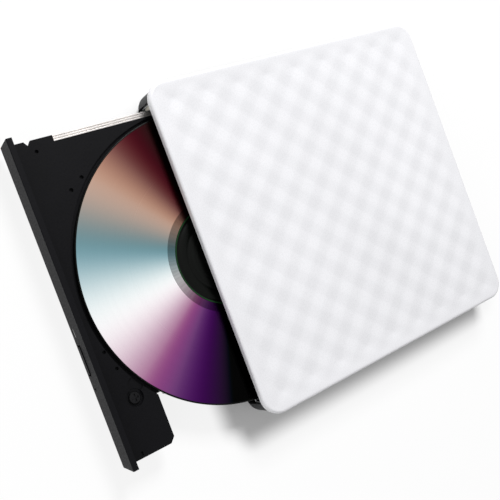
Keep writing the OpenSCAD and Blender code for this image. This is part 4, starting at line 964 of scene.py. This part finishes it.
class DRIVE_OT_screws(bpy.types.Operator):
    """All the screws, with cross recesses"""

    bl_idname = "drive.screws"
    bl_label = "Screws"

    def execute(self, context):
        for node, (head, shank, under) in SCREWS.items():
            head *= MM
            found = islands(node)
            shape = bmesh.new()
            for low, high in found:
                at = (low + high) / 2
                shape.verts.new((at.x, at.y, low.z + head if under else high.z - head))
            made = piece(node + "_set", shape)
            low, high = found[0]
            run_tree(made, "Screws", wire_screw, {
                "Head radius": (high.x - low.x) / 2, "Head height": head, "Shank radius": shank * MM,
                "Shank length": high.z - low.z - head, "Recess share": sizes().screw_recess,
                "Flip": float(under), "Material": finish_for(SLOT_OF[node]),
            })
            smooth(made.data, SCREW_SHARP)
            set_off(made, BODY_OF[node], SLOT_OF[node], node)
        return {"FINISHED"}


class DRIVE_OT_tray(bpy.types.Operator):
    """Tray, bezel, button and light"""

    bl_idname = "drive.tray"
    bl_label = "Tray"

    def execute(self, context):
        softened("tray", "tray_body", 0.15 * MM)
        softened("bezel", "front_bezel", 0.3 * MM, steps=3, angle=20)
        softened("eject_button", "button", 0.2 * MM, material=finish_for("bezel_black"))
        softened("indicator_lens", "light", 0.15 * MM)
        return {"FINISHED"}


SHEET_PIECES = {
    "left_rail": "rail_left", "right_rail": "rail_right", "drive_top_plate": "roof_plate",
    "drive_chassis": "chassis", "tray_cover": "under_cover",
}


class DRIVE_OT_rails(bpy.types.Operator):
    """Rails, chassis and roof plate"""

    bl_idname = "drive.rails"
    bl_label = "Rails and sheet metal"

    def execute(self, context):
        for node, name in SHEET_PIECES.items():
            softened(node, name, sizes().sheet_edge)
        return {"FINISHED"}


# Disc: radius and depth below the top, in millimetres, of the points from the hole to the rim's rounding
DISC_TOP = (
    (7.5, 0.15), (7.65, 0.0), (14.6, 0.0), (14.75, 0.06), (15.25, 0.06), (15.4, 0.0), (18.7, 0.0),
    (18.8, 0.05), (19.2, 0.05), (19.3, 0.0), (20.4, 0.0), (23.6, 0.0), (58.4, 0.0), (59.4, 0.0),
)
DISC_UNDER = ((7.65, 0.0), (7.5, 0.15))
DISC_STEPS, RIM_STEPS = 240, 4
RIM_EDGE, RIM_BREAK = 0.3 * MM, 0.2 * MM
BAND_INNER, DATA_INNER, DATA_OUTER = 20.4 * MM, 23.6 * MM, 59.3 * MM


def disc_zone(away):
    """Which of the disc's finishes lies at a distance from the hub: data, band or clear."""
    if DATA_INNER < away < DATA_OUTER:
        return 0
    return 1 if BAND_INNER < away < DATA_INNER else 2


class DRIVE_OT_disc(bpy.types.Operator):
    """Disc with its tracks, mirror band, stacking ring and clear hub"""

    bl_idname = "drive.disc"
    bl_label = "Disc"

    def execute(self, context):
        low, high = DISC_LOW.z, DISC_HIGH.z
        rim = (DISC_HIGH.x - DISC_LOW.x) / 2
        profile = [(r * MM, high - depth * MM) for r, depth in DISC_TOP]
        for k in range(RIM_STEPS + 1):
            turn = QUARTER * k / RIM_STEPS
            profile.append((rim - RIM_EDGE * (1 - math.sin(turn)), high - RIM_EDGE * (1 - math.cos(turn))))
        profile += [(rim, low + RIM_BREAK), (rim - RIM_BREAK, low)]
        profile += [(r * MM, low + lift * MM) for r, lift in DISC_UNDER]
        shape = bmesh.new()
        turned(shape, profile, HUB, DISC_STEPS)
        faced_out(shape)
        made = piece("disc_body", shape, *map(finish_for, ("disc_mirror", "disc_band", "disc_clear")))
        for face in made.data.polygons:
            face.material_index = disc_zone((Vector(face.center) - HUB).xy.length)
        smooth(made.data)
        set_off(made, "rotor", "disc_mirror", "disc")
        return {"FINISHED"}


# Inner pieces and the radius of their edges, in millimetres
SMALL_PIECES = {
    "turntable": 0.12, "grip_ring": 0.06, "hub_cap": 0.15, "claw_a": 0.12, "claw_b": 0.12, "claw_c": 0.12,
    "pickup_sled": 0.15, "lens_holder": 0.15, "data_plug": 0.15, "data_socket": 0.15, "bridge_chips": 0.1,
    "tray_chips": 0.1, "sled_motor": 0.15, "traverse_plate": 0.08, "spindle_base": 0.08, "latch_lever": 0.12,
    "latch_magnet": 0.2, "left_guide": 0.12, "right_guide": 0.12, "ribbon_socket": 0.12, "tray_socket": 0.12,
    "eject_switch": 0.1, "lead_screw": 0.08, "latch_screw": 0.1, "latch_pin": 0.1, "dampers": 0.15,
    "bridge_board": 0.06, "drive_board": 0.06, "tray_board": 0.06, "spindle_coils": 0.08,
}
PLAIN_SOLIDS = ("guide_rods", "objective_lens", "spindle_rotor")


class DRIVE_OT_inside(bpy.types.Operator):
    """Hub, pickup, boards, latch and the other inner pieces"""

    bl_idname = "drive.inside"
    bl_label = "Inner pieces"

    def execute(self, context):
        for node, edge in SMALL_PIECES.items():
            softened(node, node + "_piece", edge * MM)
        for node in PLAIN_SOLIDS:
            dress(node)
        return {"FINISHED"}


# Ribbon

RIBBON_STEPS = 8


def ribbon_run(name, line):
    """One run of the flat ribbon: a strip of film along a line of depth and height points."""
    low, high = span("ribbon")
    half = sizes().ribbon_film / 2
    shape = bmesh.new()
    loops = []
    for i, at in enumerate(line):
        along = (line[min(i + 1, len(line) - 1)] - line[max(i - 1, 0)]).normalized()
        off = Vector((-along.y, along.x)) * half
        corners = ((low.x, at + off), (high.x, at + off), (high.x, at - off), (low.x, at - off))
        loops.append([shape.verts.new((x, spot.x, spot.y)) for x, spot in corners])
    capped(shape, loops)
    faced_out(shape)
    return piece(name, shape, finish_for("ribbon_film"))


class DRIVE_OT_ribbon(bpy.types.Operator):
    """Flat ribbon in two runs that meet in a half-round bend"""

    bl_idname = "drive.ribbon"
    bl_label = "Ribbon"

    def execute(self, context):
        low, high = span("ribbon")
        film = sizes().ribbon_film
        radius = (high.z - low.z - film) / 2
        bend = Vector((low.y + film / 2 + radius, (low.z + high.z) / 2))
        ends = {"ribbon_floor_run": (high.y, -1), "ribbon_tray_run": (span("tray_socket")[0].y, 1)}
        for name, (end, side) in ends.items():
            line = [Vector((end, bend.y + side * radius))]
            for k in range(RIBBON_STEPS + 1):
                turn = QUARTER * k / RIBBON_STEPS
                line.append(bend + Vector((-math.sin(turn), side * math.cos(turn))) * radius)
            made = ribbon_run(name, line)
            if side < 0:
                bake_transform(made)
                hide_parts("ribbon")
            else:
                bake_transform(made)
        return {"FINISHED"}


# Stage

FLOOR_HALF = 4.0
AIM = (0, -0.03, 0)
KEY_AT, KEY_SIZE = (-0.71, 0.18, 0.77), (0.32, 0.32)
FILL_AT, FILL_SIZE = (0.2, -0.8, 0.4), (0.5, 0.8)
SENSOR_WIDTH = 36.0
CLIP_START = 0.01


def area_light(name, at, size, power, mirrored=True):
    """A rectangular lamp that points at the object. One that isn't mirrored stays out of glossy surfaces."""
    data = bpy.data.lights.new(name, "AREA")
    data.shape = "RECTANGLE"
    data.size, data.size_y = size
    data.energy = power
    lamp = bpy.data.objects.new(name, data)
    lamp.location = at
    lamp.rotation_euler = (Vector(AIM) - Vector(at)).to_track_quat("-Z", "Y").to_euler()
    lamp.visible_glossy = mirrored
    bpy.context.scene.collection.objects.link(lamp)


def studio_world(sky):
    """Even light from all sides behind a white that the camera sees."""
    world = bpy.data.worlds.new("studio")
    world.use_nodes = True
    tree = world.node_tree
    feed(tree, tree.nodes["Background"], {
        "Color": rgba((1.0, 1.0, 1.0)), "Strength": spread(tree, seen_rays(tree), sky, 1.0)
    })
    return world


class DRIVE_OT_stage(bpy.types.Operator):
    """Floor, lights, world and camera"""

    bl_idname = "drive.stage"
    bl_label = "Stage"

    def execute(self, context):
        st = stage()
        scene = context.scene
        scene.view_settings.view_transform = "Standard"
        shape = bmesh.new()
        bmesh.ops.create_grid(shape, x_segments=1, y_segments=1, size=FLOOR_HALF)
        piece("floor", shape, finish_for("floor"))
        area_light("key", KEY_AT, KEY_SIZE, st.key)
        area_light("fill", FILL_AT, FILL_SIZE, st.fill, mirrored=False)
        scene.world = studio_world(st.sky)
        lens = bpy.data.cameras.new("camera")
        lens.lens = st.focal
        lens.sensor_width = SENSOR_WIDTH
        lens.clip_start = CLIP_START
        camera = bpy.data.objects.new("camera", lens)
        camera.location = st.eye
        camera.rotation_euler = st.turn
        scene.collection.objects.link(camera)
        scene.camera = camera
        return {"FINISHED"}


class DRIVE_PT_panel(bpy.types.Panel):
    """Sidebar panel of the disc drive"""

    bl_label = "Disc drive"
    bl_idname = "DRIVE_PT_panel"
    bl_space_type = "VIEW_3D"
    bl_region_type = "UI"
    bl_category = "Disc drive"

    def draw(self, context):
        for step in STEPS:
            self.layout.operator(step.bl_idname)
        for group in (context.scene.drive_sizes, context.scene.drive_finish, context.scene.drive_stage):
            box = self.layout.box()
            for key in group.bl_rna.properties.keys():
                if key not in ("rna_type", "name"):
                    box.prop(group, key)


STEPS = (
    DRIVE_OT_stage, DRIVE_OT_lid, DRIVE_OT_case, DRIVE_OT_screws, DRIVE_OT_tray, DRIVE_OT_rails,
    DRIVE_OT_disc, DRIVE_OT_inside, DRIVE_OT_ribbon,
)
CLASSES = (DriveSizes, DriveFinish, DriveStage) + STEPS + (DRIVE_PT_panel,)


def register():
    for kind in CLASSES:
        bpy.utils.register_class(kind)
    bpy.types.Scene.drive_sizes = bpy.props.PointerProperty(type=DriveSizes)
    bpy.types.Scene.drive_finish = bpy.props.PointerProperty(type=DriveFinish)
    bpy.types.Scene.drive_stage = bpy.props.PointerProperty(type=DriveStage)


def unregister():
    del bpy.types.Scene.drive_stage
    del bpy.types.Scene.drive_finish
    del bpy.types.Scene.drive_sizes
    for kind in reversed(CLASSES):
        bpy.utils.unregister_class(kind)


def main():
    register()
    for step in STEPS:
        area, name = step.bl_idname.split(".")
        getattr(getattr(bpy.ops, area), name)()


if __name__ == "__main__":
    main()
